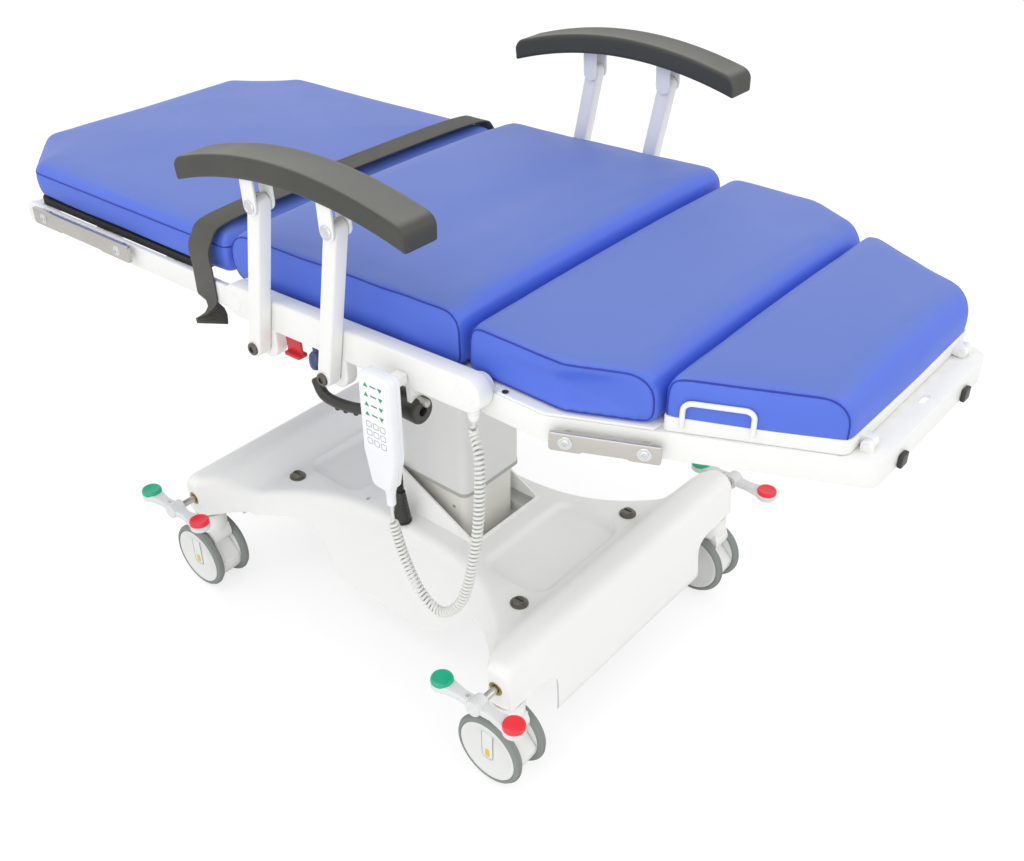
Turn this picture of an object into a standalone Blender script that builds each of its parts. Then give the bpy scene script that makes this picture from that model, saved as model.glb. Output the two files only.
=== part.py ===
"""Procedure chair: a mobile base with a lifting column, four powered cushion sections and folding armrests.

Metres, +Z up.  +X runs to the foot end, -Y is the side that carries the handset, the floor is z = 0.
"""

import math

import bmesh
import bpy
from mathutils import Matrix, Vector

# General
GAP = 0.0003
EMBED = 0.002
SLACK = 0.0005
ROUND_SIDES = 12
FINE_SIDES = 18
ARC_STEPS = 4
WELD = 0.00001
SMOOTH_ANGLE = math.radians(35.0)
MARKER_SIZE = 0.05
FRAME_X = -0.0007

# Widths and span that other sizes follow
END_HALF = 0.310
CUSHION_HALF = 0.305
SEAT_SPAN = 0.437

# Casters
WHEEL_RADIUS = 0.0635
WHEEL_WIDTH = 0.0275
WHEEL_SHOULDER = 0.005
WHEEL_DISC_RADIUS = 0.057
WHEEL_DISC_DISH = 0.0025
WHEEL_INNER_GAP = 0.031
AXLE_RADIUS = 0.0065
CASTER_X = 0.356
CASTER_INSET = 0.024
CASTER_Y = END_HALF - CASTER_INSET
CASTER_TRAIL = 0.012
FORK_THICKNESS = 0.029
FORK_NOSE_RADIUS = 0.020
FORK_NECK = 0.024
FORK_TAIL = 0.0515
FORK_ROOF_GAP = 0.0012
CASTER_BOSS_RADIUS = 0.027
CASTER_BOSS_TOP = 0.160
CASTER_STEM_RADIUS = 0.0075
SWIVEL_CLEARANCE = 0.005

# Base chassis
CROSS_TUBE_REACH = (0.0115, 0.012)
CROSS_TUBE_HEIGHT = 0.024
CROSS_TUBE_BOTTOM = 0.1665
CROSS_TUBE_INSET = 0.0135
CROSS_TUBE_HALF_LENGTH = END_HALF - CROSS_TUBE_INSET
CHASSIS_RAIL_Y = 0.085
CHASSIS_RAIL_WIDTH = 0.030
CHASSIS_RAIL_HEIGHT = 0.036
COLUMN_PLATE_HALF = 0.100
COLUMN_PLATE_THICKNESS = 0.016
BRAKE_Z = 0.200
BRAKE_SHAFT_RADIUS = 0.006
BRAKE_LUG_INSET = 0.095
BRAKE_LUG_Y = END_HALF - BRAKE_LUG_INSET
BRAKE_LUG_THICKNESS = 0.012
BRAKE_LUG_HALF = 0.012

# Brake pedals
PEDAL_STANDOFF = 0.030
PEDAL_INNER_Y = END_HALF + PEDAL_STANDOFF
PEDAL_HUB_RADIUS = 0.013
PEDAL_HUB_LENGTH = 0.026
PEDAL_ARM = 0.069
PEDAL_BAR_WIDTH = 0.018
PEDAL_BAR_THICKNESS = 0.010
PEDAL_PAD_RADIUS = 0.0175
PEDAL_PAD_BELOW = 0.007
PEDAL_PAD_ABOVE = 0.011

# Moulded base cover
COVER_WALL = 0.004
DECK_Z = 0.197
RIDGE_Z = 0.245
SKIRT_Z = 0.075
END_SKIRT_Z = 0.088
WAIST_HALF = 0.122
WAIST_REACH = 0.340
WAIST_POWER = 3.0
SKIRT_FLARE = 0.075
END_FLARE = 0.006
RIDGE_START = 0.282
RIDGE_CREST = 0.334
RIDGE_SHOULDER = 0.355
RIDGE_FACE = 0.378
END_FACE_X = 0.388
RIDGE_DROP = 0.022
COVER_EDGE_RADIUS = 0.016
COVER_EDGE_SHARE = 0.4
COVER_EDGE_ARC = ((0.25, 1.0), (-0.25, 0.28), (-1.0, 0.0))
SKIRT_BOW = (0.45, 0.40)
END_LIP = 0.012
END_SQUEEZE = 0.006
COVER_STATIONS_X = (0.0, 0.095, 0.165, 0.220, 0.256, 0.282, 0.308, 0.334)
TRAY_X = (0.152, 0.277)
TRAY_HALF_Y = 0.112
TRAY_DEPTH = 0.012
TRAY_CORNER = 0.026
COLLAR_FOOT_X = 0.112
COLLAR_HEAD_X = -0.092
COLLAR_APEX_X = -0.056
COLLAR_APEX_Z = 0.284
COLLAR_HALF_Y = 0.083
SHAFT_HOLE_RADIUS = 0.012
ARCH_ROUND = ((0.0, -0.03), (0.70, 0.0), (0.92, 0.10), (1.0, 0.32))
ARCH_SIDE = ((0.128, 0.0), (0.138, 0.086), (0.176, 0.122), (0.196, 0.144), (0.230, 0.150))
ARCH_INNER_Y = 0.125
KNOB_X = 0.265
KNOB_OUTSET = 0.027
KNOB_Y = WAIST_HALF + KNOB_OUTSET
KNOB_RADIUS = 0.0155
KNOB_HEIGHT = 0.009
KNOB_PROFILE = ((0.0, 1.0), (0.55, 1.0), (0.70, 0.62), (1.0, 0.40), (1.0, 0.0), (0.0, 0.0))

# Lifting column
COLUMN_X = 0.005
COLUMN_LOWER_SIZE = (0.139, 0.129)
COLUMN_UPPER_SIZE = (0.155, 0.145)
COLUMN_CORNER = 0.014
COLUMN_SLIDE = 0.0006
COLUMN_LOWER_TOP = 0.500
SHROUD_BOTTOM = 0.270
SHROUD_ROOF = 0.598
SHROUD_TOP = 0.612
CLIP_Z = (0.500, 0.518)
CLIP_HALF_X = 0.011

# Tilt head on the column
TILT_Z = 0.650
TILT_PLATE_THICKNESS = 0.012
TILT_PLATE_HALF = (0.072, 0.066)
TILT_LUG_Y = 0.046
TILT_LUG_THICKNESS = 0.012
TILT_LUG_RADIUS = 0.016
TILT_PIN_RADIUS = 0.008
TILT_CHEEK_THICKNESS = 0.010

# Seat section
BACK_HINGE_X = -0.096
BACK_HINGE_Z = 0.6965
SEAT_RISE = math.radians(2.6)
CHEEK_CLEARANCE = 0.0015
CHEEK_THICKNESS = 0.009
BEAM_CLEARANCE = 0.0015
BEAM_THICKNESS = 0.0275
CHEEK_INNER_Y = CUSHION_HALF + CHEEK_CLEARANCE
CHEEK_OUTER_Y = CHEEK_INNER_Y + CHEEK_THICKNESS
BEAM_INNER_Y = CHEEK_OUTER_Y + BEAM_CLEARANCE
BEAM_OUTER_Y = BEAM_INNER_Y + BEAM_THICKNESS
BEAM_RADIUS = 0.024
JOURNAL_RADIUS = 0.010
CHEEK_RADIUS = 0.0225
SEAT_TUBE_SIZE = 0.025
SEAT_TUBE_S = (0.058, 0.352)
SEAT_SPINE_Y = 0.067
SEAT_SPINE_WIDTH = 0.025
DECK_THICKNESS = 0.004
SEAT_DECK_START = 0.030
SEAT_DECK_SETBACK = 0.032
SEAT_CUSHION_START = -0.054
SEAT_CUSHION_SETBACK = 0.038
SEAT_CUSHION_THICKNESS = 0.078
SEAT_ROLL = (0.030, 0.012, 0.024, 0.040)
SEAT_CROWN = 0.012

# Cushion forms: draw-in against height of a boxed side, steps over its top, and stations across a rolled one
BOX_SIDES = ((0.009, 0.0), (0.001, 0.16), (0.0, 0.46), (0.002, 0.70), (0.010, 0.90), (0.024, 0.985))
BOX_TOPS = ((0.80, 0.45), (0.50, 0.85), (0.20, 1.0))
ROLL_STATIONS = ((1.0, 0.008), (0.985, 0.002), (0.93, 0.0), (0.70, 0.0), (0.35, 0.0))
ROLL_STEPS = 4

# Back section
BACK_DROP = math.radians(1.5)
BACK_FRAME_S = -0.600
BACK_PLATE_TOP = -0.004
BACK_PLATE_HEIGHT = 0.036
BACK_CROSS_S = (-0.210, -0.400, -0.585)
BACK_CROSS_SIZE = 0.025
BACK_CROSS_RISE = 0.0074
BACK_BOARD_S = (-0.684, -0.130)
BACK_BOARD_THICKNESS = 0.012
BACK_CUSHION_S = (-0.694, -0.0585)
BACK_CUSHION_THICKNESS = 0.062
HEAD_CHAMFER = (0.125, 0.096)
BACK_CORNER = 0.022
BACK_CROWN = 0.008
BOARD_INSET = 0.003
BACK_RAIL_S = (-0.552, -0.280)
RAIL_HEIGHT = 0.028
RAIL_THICKNESS = 0.007
RAIL_STANDOFF = 0.010
RAIL_SPACER_RADIUS = 0.008
RAIL_SPACER_INSET = 0.030
STRAP_S = -0.104
STRAP_WIDTH = 0.047
STRAP_THICKNESS = 0.0025
STRAP_TAIL_DROP = 0.080
STRAP_FAR_DROP = 0.038
STRAP_CREST = 0.010
STRAP_FALL = 0.032
STRAP_CLIMB = ((0.0015, -0.010), (-0.021, 0.003), (-0.085, 0.0065))

# Leg section
LEG_PLATE_TOP = -0.0008
LEG_PLATE_HEIGHT = 0.0365
LEG_KINK = 0.100
LEG_TAPER = math.radians(25.4)
LEG_END = 0.4425
LEG_WALL = 0.009
LEG_CROSS = (0.070, 0.195)
LEG_CROSS_SIZE = 0.022
LEG_DECK = (-0.024, 0.2165)
LEG_CUSHION = (-0.0335, 0.2150)
LEG_CUSHION_THICKNESS = 0.068
LEG_CUSHION_INSET = 0.004
LEG_ROLL = (0.012, 0.012, 0.040, 0.022)
LEG_CROWN = 0.008
LEG_RAIL = (0.108, 0.228)
LEG_RAIL_HEIGHT = 0.025
LEG_RAIL_DROP = 0.0225
LEG_SPACER_RADIUS = 0.0072
LEG_SPACER_INSET = 0.018
END_SHELF_START = 0.398
END_SHELF_DROP = 0.0012
END_SHELF_THICKNESS = 0.004
BUMPER_Y = 0.091
BUMPER_SIZE = (0.006, 0.018, 0.018)
BUMPER_DROP = 0.028

# Foot flap
FLAP_START = 0.2195
FLAP_END = 0.409
FLAP_HINGE = (0.4195, 0.006)
FLAP_PLATE = 0.004
FLAP_LIP_HEIGHT = 0.0155
FLAP_LIP_WALL = 0.004
FLAP_CORNERS = (0.007, 0.015, 0.015, 0.007)
FLAP_CUSHION_GAP = 0.003
FLAP_CUSHION_THICKNESS = 0.068
FLAP_ROLL = (0.012, 0.012, 0.044, 0.020)
FLAP_CROWN = 0.008
FLAP_EAR_Y = 0.129
FLAP_EAR_WIDTH = 0.012
FLAP_EAR_RADIUS = 0.0072
FLAP_EAR_EASE = 0.0002
FLAP_PIN_RADIUS = 0.004
FLAP_LUG_WIDTH = 0.008
HANDLE_SPAN = (0.2435, 0.3155)
HANDLE_RADIUS = 0.0033
HANDLE_RISE = 0.034
HANDLE_OFFSET = 0.0037
HANDLE_CORNER = 0.009
HANDLE_CORNER_EASE = 0.0027

# Armrests
ARM_PIVOT_S = (0.060, 0.203)
ARM_PIVOT_H = -0.0465
ARM_RISE = (0.0521, 0.2214)
ARM_LUG_RADIUS = 0.0225
POST_CLEARANCE = 0.001
POST_INNER_Y = BEAM_OUTER_Y + POST_CLEARANCE
POST_THICKNESS = 0.022
POST_RADIUS = 0.012
ARM_BOLT_RADIUS = 0.006
ARM_BOLT_HEAD_RADIUS = 0.0095
ARM_BOLT_HEAD = 0.003
OPEN_PIVOT_SLACK = 0.0015
PAD_S = (-0.031, 0.392)
PAD_OVERHANG = 0.025
PAD_WIDTH = 0.058
PAD_INNER_Y = POST_INNER_Y - PAD_OVERHANG
PAD_OUTER_Y = PAD_INNER_Y + PAD_WIDTH
PAD_THICKNESS = 0.032
PAD_CROWN = 0.033
PAD_MID_H = 0.2144
PAD_STATIONS = 9
PAD_SECTION = ((-0.93, 0.0), (0.93, 0.0), (1.0, 0.12), (1.0, 0.84), (0.88, 1.0), (0.0, 0.88),
               (-0.88, 1.0), (-1.0, 0.84), (-1.0, 0.12))
PAD_END_SHARE = 0.80
PAD_TAB_THICKNESS = 0.004
PAD_TAB_RADIUS = 0.0125

# Handset, its hook and cord
HANDSET_X = 0.241
HANDSET_STANDOFF = 0.0305
HANDSET_DEPTH = 0.022
HANDSET_Y = (-BEAM_OUTER_Y - HANDSET_STANDOFF - HANDSET_DEPTH, -BEAM_OUTER_Y - HANDSET_STANDOFF)
HANDSET_TOP = 0.744
HANDSET_BOTTOM = 0.545
HANDSET_HALF_TOP = 0.033
HANDSET_HALF_BOTTOM = 0.019
HANDSET_TAPER_Z = 0.602
HANDSET_CORNER = 0.010
HANDSET_BEVEL = 0.004
HOOK_HALF_X = 0.014
HOOK_HALF_Z = 0.010
HOOK_Z = 0.708
CORD_WIRE_RADIUS = 0.0023
CORD_COIL_RADIUS = 0.0064
CORD_CURLS = 54
CORD_POINTS_PER_CURL = 7
CORD_LEAD = 0.024
CORD_SOCKET_RADIUS = 0.006
CORD_OFFSET = 0.003
CORD_TRACE = 0.0005
CORD_TRACE_STEPS = 24
CORD_SWELL_CURLS = 1.5
GLAND_AHEAD = 0.0025
GLAND_INSET = 0.014
GLAND_PLACE = (BACK_HINGE_X + SEAT_SPAN * math.cos(SEAT_RISE) + GLAND_AHEAD, -BEAM_INNER_Y - GLAND_INSET)

# Cord route: shares of the way from handset to gland along X and Y, and the height
CORD_ROUTE = (
    (0.0, 0.0, 0.5297),
    (0.0, 0.0, 0.512),
    (0.040, 0.0, 0.488),
    (0.182, 0.0, 0.446),
    (0.450, 0.0, 0.402),
    (0.820, 0.018, 0.386),
    (1.172, 0.073, 0.424),
    (1.313, 0.218, 0.490),
    (1.313, 0.473, 0.560),
    (1.192, 0.782, 0.630),
    (1.010, 1.0, 0.655),
    (1.0, 1.0, 0.665),
    (1.0, 1.0, 0.6757),
)
GLAND_RADIUS = 0.0075

# Small controls below the near beam
LEVER_INSET = 0.013
LEVER_AXIS = (-BEAM_INNER_Y - LEVER_INSET, 0.651)
LEVER_HUB_X = (0.166, 0.238)
LEVER_HUB_RADIUS = 0.019
LEVER_BAR_RADIUS = 0.008
LEVER_BAR = ((0.180, -0.006, 0.640), (0.160, -0.013, 0.622), (0.120, -0.015, 0.612), (0.082, -0.015, 0.612),
             (0.068, -0.015, 0.632))
LEVER_PIN_RADIUS = 0.006
LEVER_PIN_LENGTH = 0.014
LEVER_SIDE_GAP = 0.0012
LEVER_LUG_THICKNESS = 0.008
LEVER_LUG_RADIUS = 0.014
STOP_PIN_RADIUS = 0.0055
STOP_PIN_LENGTH = 0.018
LOCK_KNOB_X = 0.053
LOCK_KNOB_RADIUS = 0.011
LOCK_KNOB_DROP = (0.018, 0.042)
LOCK_STEM_RADIUS = 0.004
LOCK_SHOULDER = (0.004, 0.8)
LOCK_TIP = (0.002, 0.7)
TAB_X = (-0.008, 0.026)
TAB_THICKNESS = 0.004
TAB_DROP = 0.026
TAB_WIDTH = 0.018
TAB_STEM_RADIUS = 0.004

# Cable conduit between base and column
CONDUIT_X = -0.028
CONDUIT_Y = -0.116
CONDUIT_RADIUS = 0.006
BOOT_RADIUS = 0.015
BOOT_TOP_RADIUS = 0.0075
BOOT_HEIGHT = 0.062

WHITE = ("powder_white", (0.87, 0.87, 0.85), 0.38, 0.0)
MOULDED = ("moulded_white", (0.88, 0.88, 0.86), 0.45, 0.0)
COLUMN_GREY = ("column_grey", (0.63, 0.64, 0.62), 0.4, 0.0)
COLUMN_PALE = ("column_pale", (0.76, 0.75, 0.70), 0.45, 0.0)
VINYL = ("blue_vinyl", (0.06, 0.13, 0.68), 0.42, 0.0)
ARM_FOAM = ("arm_foam", (0.07, 0.07, 0.06), 0.6, 0.0)
BLACK = ("black_plastic", (0.03, 0.03, 0.028), 0.5, 0.0)
STEEL = ("steel", (0.58, 0.56, 0.52), 0.3, 1.0)
DECK_STEEL = ("deck_grey", (0.62, 0.62, 0.60), 0.4, 0.6)
RUBBER = ("tyre_rubber", (0.25, 0.27, 0.26), 0.6, 0.0)
WEBBING = ("webbing", (0.02, 0.02, 0.018), 0.9, 0.0)
PEDAL = ("pedal_plastic", (0.78, 0.79, 0.79), 0.4, 0.0)
HANDSET = ("handset_plastic", (0.84, 0.86, 0.88), 0.35, 0.0)
CORD = ("cord_jacket", (0.72, 0.73, 0.70), 0.5, 0.0)
KNOB_BLUE = ("knob_blue", (0.05, 0.07, 0.19), 0.35, 0.0)
TAB_RED = ("tab_red", (0.65, 0.04, 0.05), 0.4, 0.0)

NEAR = -1
FAR = 1
SIDES = (("near", NEAR), ("far", FAR))
ENDS = (("head", -1), ("foot", 1))


def clear_scene():
    """Remove every object that the scene starts with."""
    for thing in list(bpy.data.objects):
        bpy.data.objects.remove(thing, do_unlink=True)


clear_scene()
PARTS = bpy.data.collections.new("procedure_chair")
CUTTERS = bpy.data.collections.new("cutters")
bpy.context.scene.collection.children.link(PARTS)
bpy.context.scene.collection.children.link(CUTTERS)


def finish_material(finish):
    """Principled material for a finish, made once and shared."""
    name, colour, roughness, metallic = finish
    if name in bpy.data.materials:
        return bpy.data.materials[name]
    made = bpy.data.materials.new(name)
    made.use_nodes = True
    shader = made.node_tree.nodes["Principled BSDF"]
    shader.inputs["Base Color"].default_value = (*colour, 1.0)
    shader.inputs["Roughness"].default_value = roughness
    shader.inputs["Metallic"].default_value = metallic
    return made


def empty(name, location, parent=None, rotation_y=0.0):
    """Axis marker that moving pieces are parented to."""
    marker = bpy.data.objects.new(name, None)
    marker.empty_display_size = MARKER_SIZE
    marker.parent = parent
    marker.location = location
    marker.rotation_euler = (0.0, rotation_y, 0.0)
    PARTS.objects.link(marker)
    return marker


def mesh_object(name, shape):
    """Object from a bmesh, which is used up."""
    bmesh.ops.recalc_face_normals(shape, faces=shape.faces)
    if shape.calc_volume(signed=True) < 0.0:
        bmesh.ops.reverse_faces(shape, faces=shape.faces)
    mesh = bpy.data.meshes.new(name)
    shape.to_mesh(mesh)
    shape.free()
    return bpy.data.objects.new(name, mesh)


def part(thing, finish, parent, smooth=False):
    """Put a finished piece in the parts collection under its axis marker."""
    thing.parent = parent
    thing.data.materials.clear()
    thing.data.materials.append(finish_material(finish))
    PARTS.objects.link(thing)
    if smooth:
        thing.data.shade_smooth()
        thing.data.set_sharp_from_angle(angle=SMOOTH_ANGLE)
    return thing


def combine(target, tool, operation):
    """Boolean modifier on target with a hidden tool that shares its axis marker."""
    tool.hide_render = True
    tool.display_type = "WIRE"
    tool.parent = target.parent
    CUTTERS.objects.link(tool)
    step = target.modifiers.new(operation.lower(), "BOOLEAN")
    step.operation = operation
    step.object = tool
    return target


def join(target, *tools):
    """Weld tools to a piece."""
    for tool in tools:
        combine(target, tool, "UNION")
    return target


def cut(target, *tools):
    """Cut tools out of a piece."""
    for tool in tools:
        combine(target, tool, "DIFFERENCE")
    return target


def block(name, low, high):
    """Box between two opposite corners."""
    lower = Vector([min(pair) for pair in zip(low, high)])
    upper = Vector([max(pair) for pair in zip(low, high)])
    shape = bmesh.new()
    place = Matrix.Translation((lower + upper) / 2) @ Matrix.Diagonal((*(upper - lower), 1.0))
    bmesh.ops.create_cube(shape, size=1.0, matrix=place)
    return mesh_object(name, shape)


def rod(name, start, end, radius, end_radius=None, sides=ROUND_SIDES):
    """Cylinder or cone between two points."""
    start, end = Vector(start), Vector(end)
    along = end - start
    turn = along.to_track_quat("Z", "Y").to_matrix().to_4x4()
    shape = bmesh.new()
    bmesh.ops.create_cone(shape, cap_ends=True, segments=sides, radius1=radius,
                          radius2=radius if end_radius is None else end_radius, depth=along.length,
                          matrix=Matrix.Translation((start + end) / 2) @ turn)
    return mesh_object(name, shape)


def bore(name, start, end, radius):
    """Cutter for a round hole whose flats stay outside the radius."""
    return rod(name, start, end, radius / math.cos(math.pi / ROUND_SIDES))


def baked(thing, turn=None):
    """Mesh object with what the modifiers or the curve of a loose object make."""
    CUTTERS.objects.link(thing)
    bpy.context.view_layer.update()
    graph = bpy.context.evaluated_depsgraph_get()
    mesh = bpy.data.meshes.new_from_object(thing.evaluated_get(graph))
    shape = bmesh.new()
    shape.from_mesh(mesh)
    bmesh.ops.remove_doubles(shape, verts=shape.verts, dist=WELD)
    if turn is not None:
        shape.transform(turn)
    name = thing.name
    bpy.data.objects.remove(thing, do_unlink=True)
    bpy.data.meshes.remove(mesh)
    return mesh_object(name, shape)


# Planes for outlines: the first two outline axes, then the thickness
UPRIGHT = Matrix(((1, 0, 0, 0), (0, 0, 1, 0), (0, 1, 0, 0), (0, 0, 0, 1)))
FLAT = Matrix.Identity(4)
CROSSWISE = Matrix(((0, 0, 1, 0), (1, 0, 0, 0), (0, 1, 0, 0), (0, 0, 0, 1)))


def plate(name, outline, low, high, plane):
    """Flat outline thickened from low to high along the plane's third axis."""
    drawing = bpy.data.curves.new(name, "CURVE")
    drawing.dimensions = "2D"
    drawing.fill_mode = "BOTH"
    drawing.extrude = abs(high - low) / 2
    spline = drawing.splines.new("POLY")
    spline.points.add(len(outline) - 1)
    spline.use_cyclic_u = True
    for point, place in zip(spline.points, outline):
        point.co = (place[0], place[1], 0.0, 1.0)
    lift = Matrix.Translation((0.0, 0.0, (low + high) / 2))
    return baked(bpy.data.objects.new(name, drawing), plane @ lift)


def turned(name, profile, steps, turn):
    """Solid of revolution from (radius, height) points listed from the top down."""
    shape = bmesh.new()
    corners = [shape.verts.new((radius, 0.0, height)) for radius, height in profile]
    for pair in zip(corners, corners[1:]):
        shape.edges.new(pair)
    mesh = bpy.data.meshes.new(name)
    shape.to_mesh(mesh)
    shape.free()
    lathe = bpy.data.objects.new(name, mesh)
    screw = lathe.modifiers.new("turn", "SCREW")
    screw.steps = steps
    screw.render_steps = steps
    screw.use_merge_vertices = True
    screw.merge_threshold = WELD
    return baked(lathe, turn)


def loft(name, rings):
    """Closed skin through rings that have the same number of points."""
    shape = bmesh.new()
    rows = [[shape.verts.new(point) for point in ring] for ring in rings]
    for row, following in zip(rows, rows[1:]):
        for index in range(len(row)):
            after = (index + 1) % len(row)
            shape.faces.new((row[index], row[after], following[after], following[index]))
    shape.faces.new(reversed(rows[0]))
    shape.faces.new(rows[-1])
    return mesh_object(name, shape)


def rounded(corners, radius, steps=3):
    """Outline whose corners are arcs; radius is one value or one for each corner."""
    count = len(corners)
    radii = radius if isinstance(radius, (list, tuple)) else [radius] * count
    outline = []
    for index, corner in enumerate(corners):
        here = Vector(corner)
        before = (Vector(corners[index - 1]) - here).normalized()
        after = (Vector(corners[(index + 1) % count]) - here).normalized()
        half = before.angle(after) / 2
        reach = radii[index] / math.tan(half)
        centre = here + (before + after).normalized() * radii[index] / math.sin(half)
        start = (here + before * reach - centre).normalized()
        end = (here + after * reach - centre).normalized()
        for step in range(steps + 1):
            outline.append(centre + start.slerp(end, step / steps) * radii[index])
    return outline


def capsule(start, end, radius, steps=ARC_STEPS):
    """Outline of a bar with full round ends."""
    start, end = Vector(start), Vector(end)
    along = math.atan2(end.y - start.y, end.x - start.x)
    outline = []
    for centre, first in ((end, -math.pi / 2), (start, math.pi / 2)):
        for step in range(steps + 1):
            angle = along + first + math.pi * step / steps
            outline.append(centre + radius * Vector((math.cos(angle), math.sin(angle))))
    return outline


def inset(outline, distance):
    """Outline moved inward along its corner normals; the outline runs anticlockwise."""
    moved = []
    count = len(outline)
    for index, point in enumerate(outline):
        before = (Vector(point) - Vector(outline[index - 1])).normalized()
        after = (Vector(outline[(index + 1) % count]) - Vector(point)).normalized()
        inward = (Vector((-before.y, before.x)) + Vector((-after.y, after.x))).normalized()
        spread = max(0.5, inward.dot(Vector((-after.y, after.x))))
        moved.append(Vector(point) + inward * distance / spread)
    return moved


def boxed_cushion(name, outline, bottom, thickness, crown):
    """Boxed cushion: drawn-in foot, bulged side, rolled top edge and a crown over the middle."""
    rings = []
    for draw, level in BOX_SIDES:
        rings.append([(point.x, point.y, bottom + level * thickness) for point in inset(outline, draw)])
    edge = rings[-1]
    middle = sum((Vector(point) for point in edge), Vector()) / len(edge)
    for share, lift in BOX_TOPS:
        height = bottom + thickness + crown * lift
        rings.append([(middle.x + share * (x - middle.x), middle.y + share * (y - middle.y), height)
                      for x, y, _ in edge])
    return loft(name, rings)


def roll_outline(start, end, bottom, thickness, radii):
    """Side outline of a rolled cushion; radii at head and foot below, then at foot and head above."""
    top = bottom + thickness
    return rounded([(start, bottom), (end, bottom), (end, top), (start, top)], radii, ROLL_STEPS)


def split_at(outline, place):
    """Outline with a point added wherever it crosses a place along its length."""
    points = []
    for index, point in enumerate(outline):
        following = outline[(index + 1) % len(outline)]
        points.append(point)
        if (point.x - place) * (following.x - place) < 0.0:
            points.append(point.lerp(following, (place - point.x) / (following.x - point.x)))
    return points


def rolled_cushion(name, side, half_at, crown):
    """Cushion with one panel rolled over both ends and flat side panels; half_at gives its half width."""
    heights = [point.y for point in side]
    middle, top = (min(heights) + max(heights)) / 2, max(heights)
    layout = [(-share, draw) for share, draw in ROLL_STATIONS] + [(0.0, 0.0)] + list(reversed(ROLL_STATIONS))
    rings = []
    for share, draw in layout:
        swell = crown * (1.0 - share * share) / (top - middle)
        rings.append([(point.x, share * half_at(point.x), point.y + swell * max(0.0, point.y - middle))
                      for point in inset(side, draw)])
    return loft(name, rings)


def mirrored(half_outline):
    """Close an outline given along one side, from -X to +X at positive width, into both sides."""
    return [(x, -width) for x, width in half_outline] + [(x, width) for x, width in reversed(half_outline)]


def axle_height():
    """Height at which a flat of the wheel's tread rests on the floor."""
    return WHEEL_RADIUS * math.cos(math.pi / FINE_SIDES)


def swivel_reach():
    """Radius that the twin wheels sweep about the swivel axis."""
    half_width = WHEEL_INNER_GAP / 2 + WHEEL_WIDTH
    return math.hypot(WHEEL_RADIUS + CASTER_TRAIL, half_width) + SWIVEL_CLEARANCE


def caster(end, end_sign, side, side_sign, chair):
    """Twin-wheel caster: forked housing on a stem, and two wheels fixed on one axle."""
    name = f"{side}_{end}"
    swivel = empty(f"swivel_{name}", (end_sign * CASTER_X, side_sign * CASTER_Y, 0.0), chair)
    axle = empty(f"axle_{name}", (-CASTER_TRAIL, 0.0, axle_height()), swivel)

    inner = WHEEL_INNER_GAP / 2
    outer = inner + WHEEL_WIDTH
    half = [
        (0.0, outer - WHEEL_DISC_DISH),
        (WHEEL_DISC_RADIUS, outer),
        (WHEEL_RADIUS, outer - WHEEL_SHOULDER),
        (WHEEL_RADIUS, inner + WHEEL_SHOULDER),
        (WHEEL_DISC_RADIUS, inner),
        (AXLE_RADIUS, inner),
    ]
    profile = half + [(radius, -height) for radius, height in reversed(half)]
    lie_down = Matrix.Rotation(math.pi / 2, 4, "X")
    part(turned(f"wheels_{name}", profile, FINE_SIDES, lie_down), RUBBER, axle, smooth=True)

    boss_bottom = 2 * WHEEL_RADIUS + FORK_ROOF_GAP
    axle_z = axle_height()
    hood = [(-CASTER_TRAIL + FORK_NOSE_RADIUS * math.cos(angle), axle_z + FORK_NOSE_RADIUS * math.sin(angle))
            for angle in (math.pi + math.pi * step / ARC_STEPS for step in range(ARC_STEPS + 1))]
    hood += [(FORK_NECK, boss_bottom - FORK_NECK), (FORK_NECK, boss_bottom + EMBED),
             (-FORK_NECK, boss_bottom + EMBED), (-FORK_TAIL, axle_z + FORK_NOSE_RADIUS)]
    housing = part(plate(f"caster_housing_{name}", hood, -FORK_THICKNESS / 2, FORK_THICKNESS / 2, UPRIGHT),
                   WHITE, swivel)
    stem_top = CROSS_TUBE_BOTTOM + CROSS_TUBE_HEIGHT - EMBED
    join(housing,
         rod(f"boss_{name}", (0, 0, boss_bottom), (0, 0, CASTER_BOSS_TOP), CASTER_BOSS_RADIUS),
         rod(f"stem_{name}", (0, 0, CASTER_BOSS_TOP - EMBED), (0, 0, stem_top), CASTER_STEM_RADIUS))
    cut(housing, bore(f"axle_bore_{name}", (-CASTER_TRAIL, -FORK_THICKNESS, axle_z),
                      (-CASTER_TRAIL, FORK_THICKNESS, axle_z), AXLE_RADIUS + GAP))


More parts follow.
